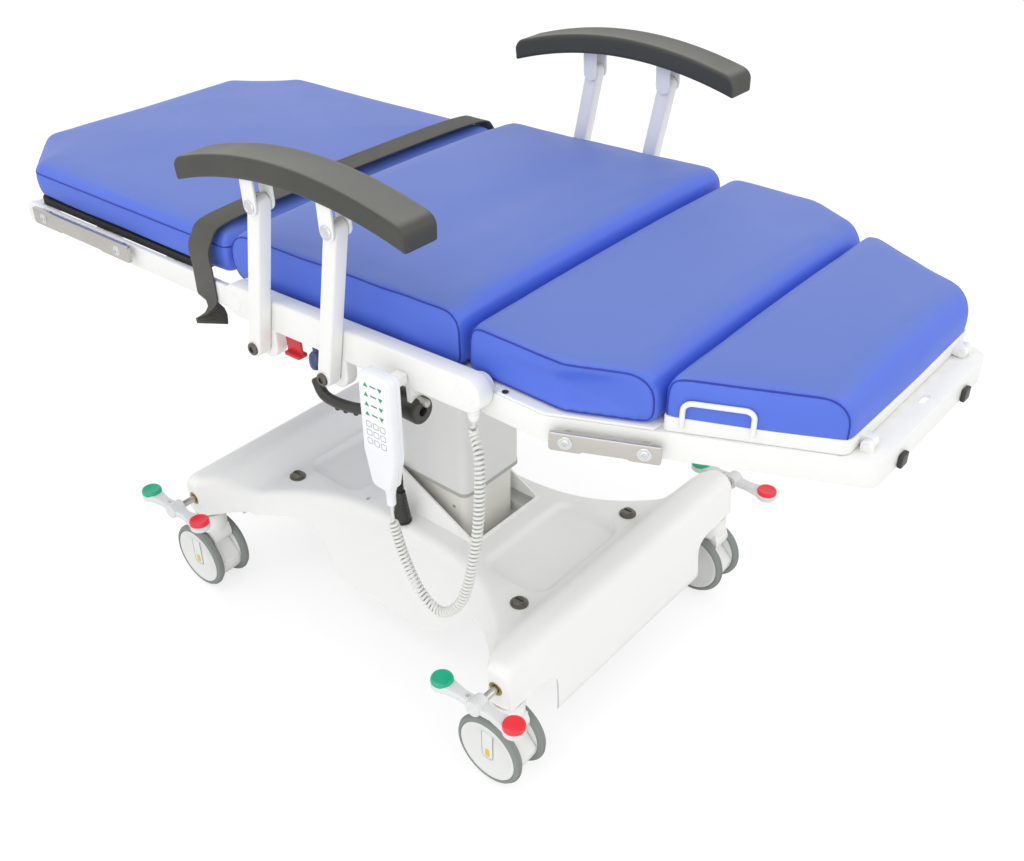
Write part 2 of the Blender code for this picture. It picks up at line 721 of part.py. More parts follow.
def base_frame(chair):
    """Welded chassis: a cross tube over each caster pair, two rails and the column plate."""
    rail_top = CROSS_TUBE_BOTTOM + EMBED * 5
    rail_end = CASTER_X
    frame = part(block("base_frame", (-COLUMN_PLATE_HALF, -COLUMN_PLATE_HALF, rail_top - CHASSIS_RAIL_HEIGHT),
                       (COLUMN_PLATE_HALF, COLUMN_PLATE_HALF,
                        rail_top - CHASSIS_RAIL_HEIGHT + COLUMN_PLATE_THICKNESS)), WHITE, chair)
    for side, sign in SIDES:
        middle = sign * CHASSIS_RAIL_Y
        join(frame, block(f"rail_{side}",
                          (-rail_end, middle - CHASSIS_RAIL_WIDTH / 2, rail_top - CHASSIS_RAIL_HEIGHT),
                          (rail_end, middle + CHASSIS_RAIL_WIDTH / 2, rail_top)))
    tube_top = CROSS_TUBE_BOTTOM + CROSS_TUBE_HEIGHT
    for end, sign in ENDS:
        inner_x = sign * (CASTER_X - CROSS_TUBE_REACH[0])
        outer_x = sign * (CASTER_X + CROSS_TUBE_REACH[1])
        join(frame, block(f"cross_tube_{end}", (inner_x, -CROSS_TUBE_HALF_LENGTH, CROSS_TUBE_BOTTOM),
                          (outer_x, CROSS_TUBE_HALF_LENGTH, tube_top)))
        for side, side_sign in SIDES:
            x, middle, half = sign * CASTER_X, side_sign * BRAKE_LUG_Y, BRAKE_LUG_THICKNESS / 2
            join(frame, block(f"brake_lug_{end}_{side}", (x - BRAKE_LUG_HALF, middle - half, tube_top - EMBED),
                              (x + BRAKE_LUG_HALF, middle + half, BRAKE_Z + BRAKE_LUG_HALF)))
        cut(frame, bore(f"shaft_bore_{end}", (sign * CASTER_X, -END_HALF, BRAKE_Z),
                        (sign * CASTER_X, END_HALF, BRAKE_Z), BRAKE_SHAFT_RADIUS + GAP))
        for side, side_sign in SIDES:
            place = (sign * CASTER_X, side_sign * CASTER_Y)
            cut(frame, bore(f"stem_bore_{end}_{side}", (*place, CASTER_BOSS_TOP), (*place, tube_top + EMBED),
                            CASTER_STEM_RADIUS + GAP))
    return rail_top - CHASSIS_RAIL_HEIGHT + COLUMN_PLATE_THICKNESS


def brakes(chair):
    """Hex-bar shafts across each end with a two-pad pedal on each shaft end."""
    for end, sign in ENDS:
        axis = empty(f"brake_axis_{end}", (sign * CASTER_X, 0.0, BRAKE_Z), chair)
        reach = PEDAL_INNER_Y - GAP
        part(rod(f"brake_shaft_{end}", (0, -reach, 0), (0, reach, 0), BRAKE_SHAFT_RADIUS), STEEL, axis,
             smooth=True)
        for side, side_sign in SIDES:
            middle = side_sign * (PEDAL_INNER_Y + PEDAL_HUB_LENGTH / 2)
            half_width, half_height = PEDAL_BAR_WIDTH / 2, PEDAL_BAR_THICKNESS / 2
            pedal = part(block(f"pedal_{side}_{end}", (-PEDAL_ARM, middle - half_width, -half_height),
                               (PEDAL_ARM, middle + half_width, half_height)), PEDAL, axis)
            join(pedal, rod(f"pedal_hub_{side}_{end}", (0, side_sign * PEDAL_INNER_Y, 0),
                            (0, side_sign * (PEDAL_INNER_Y + PEDAL_HUB_LENGTH), 0), PEDAL_HUB_RADIUS))
            for colour, pad_sign in (("green", -1), ("red", 1)):
                pad_x = pad_sign * PEDAL_ARM
                join(pedal, rod(f"pad_{colour}_{side}_{end}", (pad_x, middle, -PEDAL_PAD_BELOW),
                                (pad_x, middle, PEDAL_PAD_ABOVE), PEDAL_PAD_RADIUS))


def ease(value):
    """Smooth step from 0 to 1."""
    value = min(1.0, max(0.0, value))
    return value * value * (3.0 - 2.0 * value)


def cover_section(station, wall):
    """Closed section of the cover at one station, drawn in by a wall thickness for the hollow."""
    x, top, low, squeeze = station
    share = min(1.0, abs(x) / WAIST_REACH) ** WAIST_POWER
    crest = WAIST_HALF + (END_HALF - WAIST_HALF) * share - squeeze - wall
    foot = crest + SKIRT_FLARE * (1.0 - share) + END_FLARE
    if wall > 0.0:
        x -= math.copysign(wall, x) if abs(x) > RIDGE_CREST else 0.0
        top -= wall
        low -= COVER_EDGE_RADIUS
    radius = min(COVER_EDGE_RADIUS - wall, (top - low) * COVER_EDGE_SHARE)
    half = [(foot, low), (foot + (crest - foot) * SKIRT_BOW[0], low + (top - low) * SKIRT_BOW[1])]
    half += [(crest + radius * out, top - radius * down) for out, down in COVER_EDGE_ARC]
    near = [(x, -width, height) for width, height in half]
    return near + [(x, 0.0, top)] + [(x, width, height) for width, height in reversed(half)]


def cover_stations():
    """Stations along the cover: place, top height, lower edge and end rounding of each."""
    half = []
    for x in COVER_STATIONS_X:
        climb = ease((x - RIDGE_START) / (RIDGE_CREST - RIDGE_START))
        half.append((x, DECK_Z + (RIDGE_Z - DECK_Z) * climb, SKIRT_Z, 0.0))
    half.append((RIDGE_SHOULDER, RIDGE_Z, SKIRT_Z, 0.0))
    half.append(((RIDGE_SHOULDER + RIDGE_FACE) / 2, RIDGE_Z - RIDGE_DROP / 4, SKIRT_Z, END_SQUEEZE / 4))
    half.append((RIDGE_FACE, RIDGE_Z - RIDGE_DROP, SKIRT_Z, END_SQUEEZE))
    half.append((END_FACE_X, END_SKIRT_Z + END_LIP, END_SKIRT_Z, END_SQUEEZE))
    return [(-x, *rest) for x, *rest in reversed(half[1:])] + half


def base_cover(chair):
    """Moulded open-bottomed cover with raised end ridges, trays, a column collar and caster arches."""
    stations = cover_stations()
    cover = part(loft("base_cover", [cover_section(station, 0.0) for station in stations]), MOULDED, chair)
    cut(cover, loft("cover_hollow", [cover_section(station, COVER_WALL) for station in stations]))

    for end, sign in ENDS:
        well = mirrored([(x, TRAY_HALF_Y) for x in sorted(sign * x for x in TRAY_X)])
        floor = [(point.x, point.y) for point in inset(rounded(well, TRAY_CORNER), -COVER_WALL)]
        join(cover, plate(f"tray_{end}", floor, DECK_Z - TRAY_DEPTH - COVER_WALL, DECK_Z - EMBED / 2, FLAT))
        cut(cover, plate(f"tray_well_{end}", rounded(well, TRAY_CORNER), DECK_Z - TRAY_DEPTH, RIDGE_Z, FLAT))

    low = DECK_Z - COVER_WALL
    collar = [(COLLAR_HEAD_X - COVER_WALL, low), (COLLAR_FOOT_X + COVER_WALL, low),
              (COLLAR_FOOT_X + COVER_WALL, DECK_Z + EMBED), (COLLAR_APEX_X, COLLAR_APEX_Z),
              (COLLAR_HEAD_X - COVER_WALL, COLLAR_APEX_Z)]
    collar_half = COLLAR_HALF_Y + COVER_WALL
    join(cover, plate("collar", collar, -collar_half, collar_half, UPRIGHT))
    cut(cover, block("column_opening", (COLLAR_HEAD_X, -COLLAR_HALF_Y, SKIRT_Z),
                     (COLLAR_FOOT_X, COLLAR_HALF_Y, COLLAR_APEX_Z + EMBED)))

    reach = swivel_reach()
    arch_top = CASTER_BOSS_TOP + SWIVEL_CLEARANCE
    arch = [(reach * out, arch_top - reach * down) for out, down in ARCH_ROUND] + [(reach, 0.0), (0.0, 0.0)]
    for end, sign in ENDS:
        flank = [(sign * x, z) for x, z in ARCH_SIDE + ((CASTER_X, CASTER_BOSS_TOP), (CASTER_X, 0.0))]
        for side, side_sign in SIDES:
            place = Matrix.Translation((sign * CASTER_X, side_sign * CASTER_Y, 0.0))
            cut(cover, plate(f"flank_{side}_{end}", flank, side_sign * ARCH_INNER_Y, side_sign * PEDAL_INNER_Y,
                             UPRIGHT),
                turned(f"arch_{side}_{end}", arch, FINE_SIDES, place),
                rod(f"shaft_hole_{side}_{end}", (sign * CASTER_X, side_sign * CASTER_Y, BRAKE_Z),
                    (sign * CASTER_X, side_sign * PEDAL_INNER_Y, BRAKE_Z), SHAFT_HOLE_RADIUS))


def cover_knobs(chair):
    """Capped hold-down knobs on the deck."""
    profile = [(KNOB_RADIUS * out, KNOB_HEIGHT * up) for out, up in KNOB_PROFILE]
    for end, sign in ENDS:
        for side, side_sign in SIDES:
            place = Matrix.Translation((sign * KNOB_X, side_sign * KNOB_Y, DECK_Z + GAP))
            part(turned(f"cover_knob_{side}_{end}", profile, ROUND_SIDES, place), BLACK, chair, smooth=True)


def column(chair, lift, foot_z):
    """Two-stage lifting column with the tilt head on its moving stage."""
    def stage_outline(size):
        half_x, half_y = size[0] / 2, size[1] / 2
        corners = [(COLUMN_X - half_x, -half_y), (COLUMN_X + half_x, -half_y),
                   (COLUMN_X + half_x, half_y), (COLUMN_X - half_x, half_y)]
        return rounded(corners, COLUMN_CORNER)

    part(plate("column_lower", stage_outline(COLUMN_LOWER_SIZE), foot_z + GAP, COLUMN_LOWER_TOP, FLAT),
         COLUMN_PALE, chair)
    upper = part(plate("column_upper", stage_outline(COLUMN_UPPER_SIZE), SHROUD_BOTTOM, SHROUD_TOP, FLAT),
                 COLUMN_GREY, lift)
    sleeve = [size + 2 * COLUMN_SLIDE for size in COLUMN_LOWER_SIZE]
    cut(upper, plate("column_sleeve", stage_outline(sleeve), SHROUD_BOTTOM - EMBED, SHROUD_ROOF, FLAT))
    join(upper, block("conduit_clip", (CONDUIT_X - CLIP_HALF_X, -COLUMN_UPPER_SIZE[1] / 2 + EMBED, CLIP_Z[0]),
                      (CONDUIT_X + CLIP_HALF_X, CONDUIT_Y - CONDUIT_RADIUS, CLIP_Z[1])))

    plate_bottom = SHROUD_TOP + GAP
    plate_top = plate_bottom + TILT_PLATE_THICKNESS
    head = part(block("tilt_head", (COLUMN_X - TILT_PLATE_HALF[0], -TILT_PLATE_HALF[1], plate_bottom),
                      (COLUMN_X + TILT_PLATE_HALF[0], TILT_PLATE_HALF[1], plate_top)), WHITE, lift)
    lug = capsule((COLUMN_X, plate_bottom + TILT_LUG_RADIUS), (COLUMN_X, TILT_Z), TILT_LUG_RADIUS)
    for side, sign in SIDES:
        join(head, plate(f"tilt_lug_{side}", lug, sign * TILT_LUG_Y - TILT_LUG_THICKNESS / 2,
                         sign * TILT_LUG_Y + TILT_LUG_THICKNESS / 2, UPRIGHT))
    cut(head, bore("tilt_bore", (COLUMN_X, -END_HALF, TILT_Z), (COLUMN_X, END_HALF, TILT_Z),
                   TILT_PIN_RADIUS + GAP))


def conduit(chair):
    """Cable conduit that rises from a boot on the deck to the clip on the moving column stage."""
    boot_top = DECK_Z + GAP + BOOT_HEIGHT
    part(rod("conduit_boot", (CONDUIT_X, CONDUIT_Y, DECK_Z + GAP), (CONDUIT_X, CONDUIT_Y, boot_top),
             BOOT_RADIUS, BOOT_TOP_RADIUS), BLACK, chair, smooth=True)
    part(rod("cable_conduit", (CONDUIT_X, CONDUIT_Y, boot_top + GAP), (CONDUIT_X, CONDUIT_Y, CLIP_Z[0] - GAP),
             CONDUIT_RADIUS), BLACK, chair, smooth=True)


def seat_local(x, z):
    """Place along and above the sloping seat line of a point given in the chair's frame."""
    along, up = x - BACK_HINGE_X, z - BACK_HINGE_Z
    return (along * math.cos(SEAT_RISE) + up * math.sin(SEAT_RISE),
            up * math.cos(SEAT_RISE) - along * math.sin(SEAT_RISE))


def seat_beam(side, sign, slope):
    """Side beam with round hinge ends, hinge journals, armrest lugs and armrest bolts."""
    beam = part(plate(f"seat_beam_{side}", capsule((0.0, 0.0), (SEAT_SPAN, 0.0), BEAM_RADIUS, 2 * ARC_STEPS),
                      sign * BEAM_INNER_Y, sign * BEAM_OUTER_Y, UPRIGHT), WHITE, slope)
    lug_inner = sign * (BEAM_INNER_Y + BEAM_RADIUS / 3)
    for index, place in enumerate(ARM_PIVOT_S):
        lug = capsule((place, 0.0), (place, ARM_PIVOT_H), ARM_LUG_RADIUS)
        bolt_end = sign * (POST_INNER_Y + POST_THICKNESS + SLACK)
        join(beam, plate(f"arm_lug_{side}_{index}", lug, lug_inner, sign * BEAM_OUTER_Y, UPRIGHT),
             rod(f"arm_bolt_{side}_{index}", (place, sign * (BEAM_OUTER_Y - EMBED), ARM_PIVOT_H),
                 (place, bolt_end + sign * EMBED, ARM_PIVOT_H), ARM_BOLT_RADIUS),
             rod(f"arm_bolt_head_{side}_{index}", (place, bolt_end, ARM_PIVOT_H),
                 (place, bolt_end + sign * ARM_BOLT_HEAD, ARM_PIVOT_H), ARM_BOLT_HEAD_RADIUS))
    for index, place in enumerate((0.0, SEAT_SPAN)):
        join(beam, rod(f"journal_{side}_{index}", (place, sign * (BEAM_INNER_Y + EMBED), 0.0),
                       (place, sign * (CHEEK_INNER_Y + GAP), 0.0), JOURNAL_RADIUS))
    return beam


def lever_mount(beam):
    """Drop lug under the near beam with the release lever's pivot pin."""
    along, up = seat_local(LEVER_HUB_X[1], LEVER_AXIS[1])
    root_s, root_h = seat_local(LEVER_HUB_X[1] + LEVER_LUG_THICKNESS / 2, LEVER_AXIS[1])
    tip_s, tip_h = seat_local(LEVER_HUB_X[1] - LEVER_PIN_LENGTH, LEVER_AXIS[1])
    first = along + LEVER_SIDE_GAP
    last = first + LEVER_LUG_THICKNESS
    middle = LEVER_AXIS[0]
    join(beam, block("lever_lug", (first, middle - LEVER_LUG_RADIUS + EMBED, up - LEVER_LUG_RADIUS),
                     (last, middle + LEVER_LUG_RADIUS - EMBED, -BEAM_RADIUS / 2)),
         rod("lever_pin", (root_s, middle, root_h), (tip_s, middle, tip_h), LEVER_PIN_RADIUS))
    return last, up


def seat_frame(slope):
    """Cross tubes, spine tubes and the tilt pin with its cheeks."""
    top = -GAP
    low = top - SEAT_TUBE_SIZE
    reach = BEAM_INNER_Y - GAP
    half = SEAT_TUBE_SIZE / 2
    first, last = SEAT_TUBE_S
    frame = part(block("seat_frame", (first - half, -reach, low), (first + half, reach, top)), WHITE, slope)
    join(frame, block("seat_tube_foot", (last - half, -reach, low), (last + half, reach, top)))
    pin_s, pin_h = seat_local(COLUMN_X, TILT_Z)
    outer = SEAT_SPINE_Y + TILT_CHEEK_THICKNESS / 2
    for side, sign in SIDES:
        join(frame, block(f"spine_{side}", (first, sign * SEAT_SPINE_Y - SEAT_SPINE_WIDTH / 2, low),
                          (last, sign * SEAT_SPINE_Y + SEAT_SPINE_WIDTH / 2, top)),
             plate(f"tilt_cheek_{side}", capsule((pin_s, pin_h), (pin_s, low), TILT_LUG_RADIUS),
                   sign * SEAT_SPINE_Y - TILT_CHEEK_THICKNESS / 2,
                   sign * SEAT_SPINE_Y + TILT_CHEEK_THICKNESS / 2, UPRIGHT))
    join(frame, rod("tilt_pin", (pin_s, -outer, pin_h), (pin_s, outer, pin_h), TILT_PIN_RADIUS))


def seat(slope):
    """Seat section: side beams, frame, deck, rolled cushion and the stop pin of the release lever."""
    near_beam = seat_beam("near", NEAR, slope)
    seat_beam("far", FAR, slope)
    lug_face, lug_h = lever_mount(near_beam)
    seat_frame(slope)
    part(block("seat_deck", (SEAT_DECK_START, -BEAM_INNER_Y + SLACK, 0.0),
               (SEAT_SPAN - SEAT_DECK_SETBACK, BEAM_INNER_Y - SLACK, DECK_THICKNESS)), DECK_STEEL, slope)
    side = roll_outline(SEAT_CUSHION_START, SEAT_SPAN - SEAT_CUSHION_SETBACK, DECK_THICKNESS + GAP,
                        SEAT_CUSHION_THICKNESS, SEAT_ROLL)
    pad = rolled_cushion("seat_cushion", side, lambda place: CUSHION_HALF, SEAT_CROWN)
    part(pad, VINYL, slope, smooth=True)
    pin_h = lug_h + LEVER_LUG_RADIUS
    part(rod("lever_stop_pin", (lug_face + GAP, LEVER_AXIS[0], pin_h),
             (lug_face + STOP_PIN_LENGTH, LEVER_AXIS[0], pin_h), STOP_PIN_RADIUS), STEEL, slope, smooth=True)


def back(axis):
    """Back section: hinged side plates with cross tubes, board, cushion, accessory rails and strap."""
    low = BACK_PLATE_TOP - BACK_PLATE_HEIGHT
    cross_low = low + BACK_CROSS_RISE
    half = BACK_CROSS_SIZE / 2
    reach = CHEEK_OUTER_Y - EMBED
    frame = part(block("back_frame", (BACK_CROSS_S[0] - half, -reach, cross_low),
                       (BACK_CROSS_S[0] + half, reach, cross_low + BACK_CROSS_SIZE)), WHITE, axis)
    for index, place in enumerate(BACK_CROSS_S[1:]):
        join(frame, block(f"back_cross_{index}", (place - half, -reach, cross_low),
                          (place + half, reach, cross_low + BACK_CROSS_SIZE)))
    for side, sign in SIDES:
        ends = (sign * CHEEK_INNER_Y, sign * CHEEK_OUTER_Y)
        join(frame, block(f"back_plate_{side}", (BACK_FRAME_S, ends[0], low), (0.0, ends[1], BACK_PLATE_TOP)),
             rod(f"back_cheek_{side}", (0.0, ends[0], 0.0), (0.0, ends[1], 0.0), CHEEK_RADIUS))
    cut(frame, bore("back_journal_bore", (0.0, -BEAM_OUTER_Y, 0.0), (0.0, BEAM_OUTER_Y, 0.0),
                    JOURNAL_RADIUS + GAP))

    head, foot = BACK_CUSHION_S
    cut_x, cut_y = HEAD_CHAMFER
    bottom = cross_low + BACK_CROSS_SIZE + BACK_BOARD_THICKNESS + 2 * GAP
    edge = mirrored([(head, CUSHION_HALF - cut_y), (head + cut_x, CUSHION_HALF), (foot, CUSHION_HALF)])
    outline = rounded(edge, BACK_CORNER, ARC_STEPS)
    pad = boxed_cushion("back_cushion", outline, bottom, BACK_CUSHION_THICKNESS, BACK_CROWN)
    part(pad, VINYL, axis, smooth=True)
    board_head, board_foot = BACK_BOARD_S
    board_half = CUSHION_HALF - BOARD_INSET
    board = mirrored([(board_head, board_half - cut_y), (head + cut_x, board_half), (board_foot, board_half)])
    part(plate("back_board", board, bottom - GAP - BACK_BOARD_THICKNESS, bottom - GAP, FLAT), BLACK, axis)

    rail_h = BACK_PLATE_TOP - RAIL_SPACER_RADIUS
    for side, sign in SIDES:
        face = CHEEK_OUTER_Y + RAIL_STANDOFF
        start, end = BACK_RAIL_S
        rail = part(block(f"back_rail_{side}", (start, sign * face, rail_h - RAIL_HEIGHT / 2),
                          (end, sign * (face + RAIL_THICKNESS), rail_h + RAIL_HEIGHT / 2)), STEEL, axis)
        for index, place in enumerate((start + RAIL_SPACER_INSET, end - RAIL_SPACER_INSET)):
            join(rail, rod(f"back_spacer_{side}_{index}", (place, sign * (CHEEK_OUTER_Y + GAP), rail_h),
                           (place, sign * (face + EMBED), rail_h), RAIL_SPACER_RADIUS))
    strap(axis, bottom)


def strap(axis, bottom):
    """Webbing strap over the back cushion, fixed at the frame sides, with a loose near tail."""
    top = bottom + BACK_CUSHION_THICKNESS
    side_y = CHEEK_OUTER_Y + STRAP_THICKNESS / 2 + GAP * 2
    climb = [(side_y, top - STRAP_FALL)] + [(CUSHION_HALF + out, top + up) for out, up in STRAP_CLIMB]
    route = [Vector((-side_y, -STRAP_TAIL_DROP))] + [Vector((-y, h)) for y, h in climb]
    route += [Vector((0.0, top + STRAP_CREST))] + [Vector(place) for place in reversed(climb)]
    route += [Vector((side_y, -STRAP_FAR_DROP))]
    over, under = [], []
    for index, place in enumerate(route):
        before = route[max(0, index - 1)]
        after = route[min(len(route) - 1, index + 1)]
        along = (after - before).normalized()
        across = Vector((-along.y, along.x)) * STRAP_THICKNESS / 2
        over.append(place + across)
        under.append(place - across)
    part(plate("strap", over + under[::-1], STRAP_S - STRAP_WIDTH / 2, STRAP_S + STRAP_WIDTH / 2, CROSSWISE),
         WEBBING, axis)


def leg_half(place):
    """Outer half width of the leg frame: straight to the kink, then tapering to the foot end."""
    return CHEEK_OUTER_Y - max(0.0, place - LEG_KINK) * math.tan(LEG_TAPER)


def leg(axis):
    """Leg section: tapered side plates with an end bar, deck, cushion, accessory rails and bumpers."""
    skew = LEG_WALL / math.cos(LEG_TAPER)
    low = LEG_PLATE_TOP - LEG_PLATE_HEIGHT
    outer = [(0.0, CHEEK_OUTER_Y), (LEG_KINK, CHEEK_OUTER_Y), (LEG_END, leg_half(LEG_END))]
    inner_end = LEG_END - LEG_WALL
    inner = [(0.0, CHEEK_INNER_Y), (LEG_KINK, CHEEK_INNER_Y), (inner_end, leg_half(inner_end) - skew)]
    loop = [(x, -y) for x, y in outer] + [(x, y) for x, y in reversed(outer)]
    loop += inner + [(x, -y) for x, y in reversed(inner)]
    frame = part(plate("leg_frame", loop, low, LEG_PLATE_TOP, FLAT), WHITE, axis)
    for side, sign in SIDES:
        join(frame, rod(f"leg_cheek_{side}", (0.0, sign * CHEEK_INNER_Y, 0.0),
                        (0.0, sign * CHEEK_OUTER_Y, 0.0), CHEEK_RADIUS))
    for place in LEG_CROSS:
        reach = leg_half(place + LEG_CROSS_SIZE / 2) - EMBED
        join(frame, block(f"leg_cross_{place}", (place - LEG_CROSS_SIZE / 2, -reach, low + EMBED),
                          (place + LEG_CROSS_SIZE / 2, reach, low + EMBED + LEG_CROSS_SIZE)))
    shelf = mirrored([(x, leg_half(x) - LEG_WALL / 2) for x in (END_SHELF_START, inner_end + EMBED)])
    shelf_top = LEG_PLATE_TOP - END_SHELF_DROP
    join(frame, plate("end_shelf", shelf, shelf_top - END_SHELF_THICKNESS, shelf_top, FLAT))
    hinge_l, hinge_h = FLAP_HINGE
    for side, sign in SIDES:
        inner_y = FLAP_EAR_Y + FLAP_EAR_WIDTH / 2 + SLACK
        lug = capsule(FLAP_HINGE, (LEG_END - LEG_WALL / 2, LEG_PLATE_TOP - FLAP_EAR_RADIUS), FLAP_EAR_RADIUS)
        join(frame, plate(f"flap_lug_{side}", lug, sign * inner_y, sign * (inner_y + FLAP_LUG_WIDTH), UPRIGHT),
             rod(f"flap_pin_{side}", (hinge_l, sign * (inner_y + EMBED), hinge_h),
                 (hinge_l, sign * (FLAP_EAR_Y - FLAP_EAR_WIDTH / 2), hinge_h), FLAP_PIN_RADIUS))
    cut(frame, bore("leg_journal_bore", (0.0, -BEAM_OUTER_Y, 0.0), (0.0, BEAM_OUTER_Y, 0.0),
                    JOURNAL_RADIUS + GAP))

    deck_bottom = LEG_PLATE_TOP + GAP
    deck_top = deck_bottom + DECK_THICKNESS
    neck = CHEEK_INNER_Y - SLACK
    clear = CHEEK_RADIUS + SLACK * 4
    sheet = mirrored([(LEG_DECK[0], neck), (clear, neck), (clear + EMBED, CHEEK_OUTER_Y),
                      (LEG_KINK, CHEEK_OUTER_Y), (LEG_DECK[1], leg_half(LEG_DECK[1]))])
    part(plate("leg_deck", sheet, deck_bottom, deck_top, FLAT), DECK_STEEL, axis)
    start, end = LEG_CUSHION
    bend = LEG_KINK + (leg_half(0.0) - LEG_CUSHION_INSET - CUSHION_HALF) / math.tan(LEG_TAPER)
    side = split_at(roll_outline(start, end, deck_top + GAP, LEG_CUSHION_THICKNESS, LEG_ROLL), bend)
    pad = rolled_cushion("leg_cushion", side, lambda x: min(CUSHION_HALF, leg_half(x) - LEG_CUSHION_INSET),
                         LEG_CROWN)
    part(pad, VINYL, axis, smooth=True)
    leg_rails(axis)
    for side, sign in SIDES:
        depth, width, height = BUMPER_SIZE
        middle = sign * BUMPER_Y
        part(block(f"bumper_{side}", (LEG_END + GAP, middle - width / 2, -BUMPER_DROP - height / 2),
                   (LEG_END + GAP + depth, middle + width / 2, -BUMPER_DROP + height / 2)), BLACK, axis)


def leg_rails(axis):
    """Accessory rails that follow the tapered sides."""
    middle_h = LEG_PLATE_TOP - LEG_RAIL_DROP
    low, high = middle_h - LEG_RAIL_HEIGHT / 2, middle_h + LEG_RAIL_HEIGHT / 2
    start, end = LEG_RAIL
    face, outside = RAIL_STANDOFF, RAIL_STANDOFF + RAIL_THICKNESS
    for side, sign in SIDES:
        def beside(place, offset):
            out = leg_half(place) + offset * math.cos(LEG_TAPER)
            return (place + offset * math.sin(LEG_TAPER), sign * out)
        bar = [beside(start, face), beside(end, face), beside(end, outside), beside(start, outside)]
        rail = part(plate(f"leg_rail_{side}", bar, low, high, FLAT), STEEL, axis)
        for index, place in enumerate((start + LEG_SPACER_INSET, end - LEG_SPACER_INSET)):
            join(rail, rod(f"leg_spacer_{side}_{index}", (*beside(place, GAP), middle_h),
                           (*beside(place, face + EMBED), middle_h), LEG_SPACER_RADIUS))


def flap_half(place):
    """Outer half width of the foot tray, a little inside the leg frame."""
    return leg_half(place) - LEG_CUSHION_INSET


def foot_flap(axis, hinge):
    """Foot flap: lipped tray on two hinge ears, its cushion and a wire lifting handle."""
    hinge_l, hinge_h = FLAP_HINGE

    def shift(points):
        return [(x - hinge_l, y) for x, y in points]

    bottom = LEG_PLATE_TOP + SLACK - hinge_h
    top = bottom + FLAP_PLATE
    edge = mirrored([(FLAP_START, flap_half(FLAP_START)), (FLAP_END, flap_half(FLAP_END))])
    sheet = rounded(edge, FLAP_CORNERS)
    tray = part(plate("foot_tray", shift(sheet), bottom, top, FLAT), WHITE, hinge)
    wall = inset(sheet, FLAP_LIP_WALL)
    rim = sheet + wall[::-1]
    join(tray, plate("tray_lip", shift(rim), top - EMBED, top + FLAP_LIP_HEIGHT, FLAT))
    for side, sign in SIDES:
        low_y, high_y = sign * (FLAP_EAR_Y - FLAP_EAR_WIDTH / 2), sign * (FLAP_EAR_Y + FLAP_EAR_WIDTH / 2)
        ear = capsule((0.0, 0.0), (FLAP_END - hinge_l + FLAP_LIP_WALL / 4, top + FLAP_EAR_RADIUS / 2),
                      FLAP_EAR_RADIUS - FLAP_EAR_EASE)
        join(tray, plate(f"flap_ear_{side}", ear, low_y, high_y, UPRIGHT))
    cut(tray, bore("flap_pin_bore", (0.0, -END_HALF, 0.0), (0.0, END_HALF, 0.0), FLAP_PIN_RADIUS + GAP))
    margin = FLAP_LIP_WALL + FLAP_CUSHION_GAP
    side = roll_outline(FLAP_START + FLAP_LIP_WALL + GAP - hinge_l, FLAP_END - margin - hinge_l, top + GAP,
                        FLAP_CUSHION_THICKNESS, FLAP_ROLL)
    part(rolled_cushion("foot_cushion", side, lambda place: flap_half(place + hinge_l) - margin, FLAP_CROWN),
         VINYL, hinge, smooth=True)

    start, end = HANDLE_SPAN
    def beside(place, height):
        return (place - hinge_l, -flap_half(place) - HANDLE_OFFSET, height)
    foot_h = top + FLAP_LIP_HEIGHT / 3
    crest = foot_h + HANDLE_RISE
    ease_in = HANDLE_CORNER_EASE
    route = [beside(start, foot_h), beside(start, crest - HANDLE_CORNER),
             beside(start + ease_in, crest - ease_in), beside(start + HANDLE_CORNER, crest),
             beside(end - HANDLE_CORNER, crest), beside(end - ease_in, crest - ease_in),
             beside(end, crest - HANDLE_CORNER), beside(end, foot_h)]
    part(tube("tray_handle", route, HANDLE_RADIUS, 2), WHITE, hinge, smooth=True)


def tube(name, points, radius, resolution):
    """Round wire along a list of points, as a mesh with closed ends."""
    drawing = bpy.data.curves.new(name, "CURVE")
    drawing.dimensions = "3D"
    drawing.bevel_depth = radius
    drawing.bevel_resolution = resolution
    drawing.use_fill_caps = True
    spline = drawing.splines.new("POLY")
    spline.points.add(len(points) - 1)
    for point, place in zip(spline.points, points):
        point.co = (*place, 1.0)
    return baked(bpy.data.objects.new(name, drawing))


def armrest(side, sign, slope):
    """Parallelogram armrest: two posts and a curved pad whose tabs carry the upper pins."""
    inner, outer = sign * POST_INNER_Y, sign * (POST_INNER_Y + POST_THICKNESS)
    rise = Vector(ARM_RISE)
    for end, place in zip(("rear", "front"), ARM_PIVOT_S):
        pivot = empty(f"arm_axis_{end}_{side}", (place, 0.0, ARM_PIVOT_H), slope)
        outline = capsule((0.0, 0.0), rise, POST_RADIUS)
        post = part(plate(f"arm_post_{end}_{side}", outline, inner, outer, UPRIGHT), WHITE, pivot)
        slack = GAP if end == "rear" else OPEN_PIVOT_SLACK
        first, last = inner - sign * EMBED, outer + sign * EMBED
        cut(post, bore(f"post_low_bore_{end}_{side}", (0, first, 0), (0, last, 0), ARM_BOLT_RADIUS + GAP),
            bore(f"post_top_bore_{end}_{side}", (rise.x, first, rise.y), (rise.x, last, rise.y),
                 ARM_BOLT_RADIUS + slack))
    pad_axis = empty(f"arm_pad_axis_{side}", (ARM_PIVOT_S[0] + rise.x, 0.0, ARM_PIVOT_H + rise.y), slope)
    arm_pad(side, sign, pad_axis)


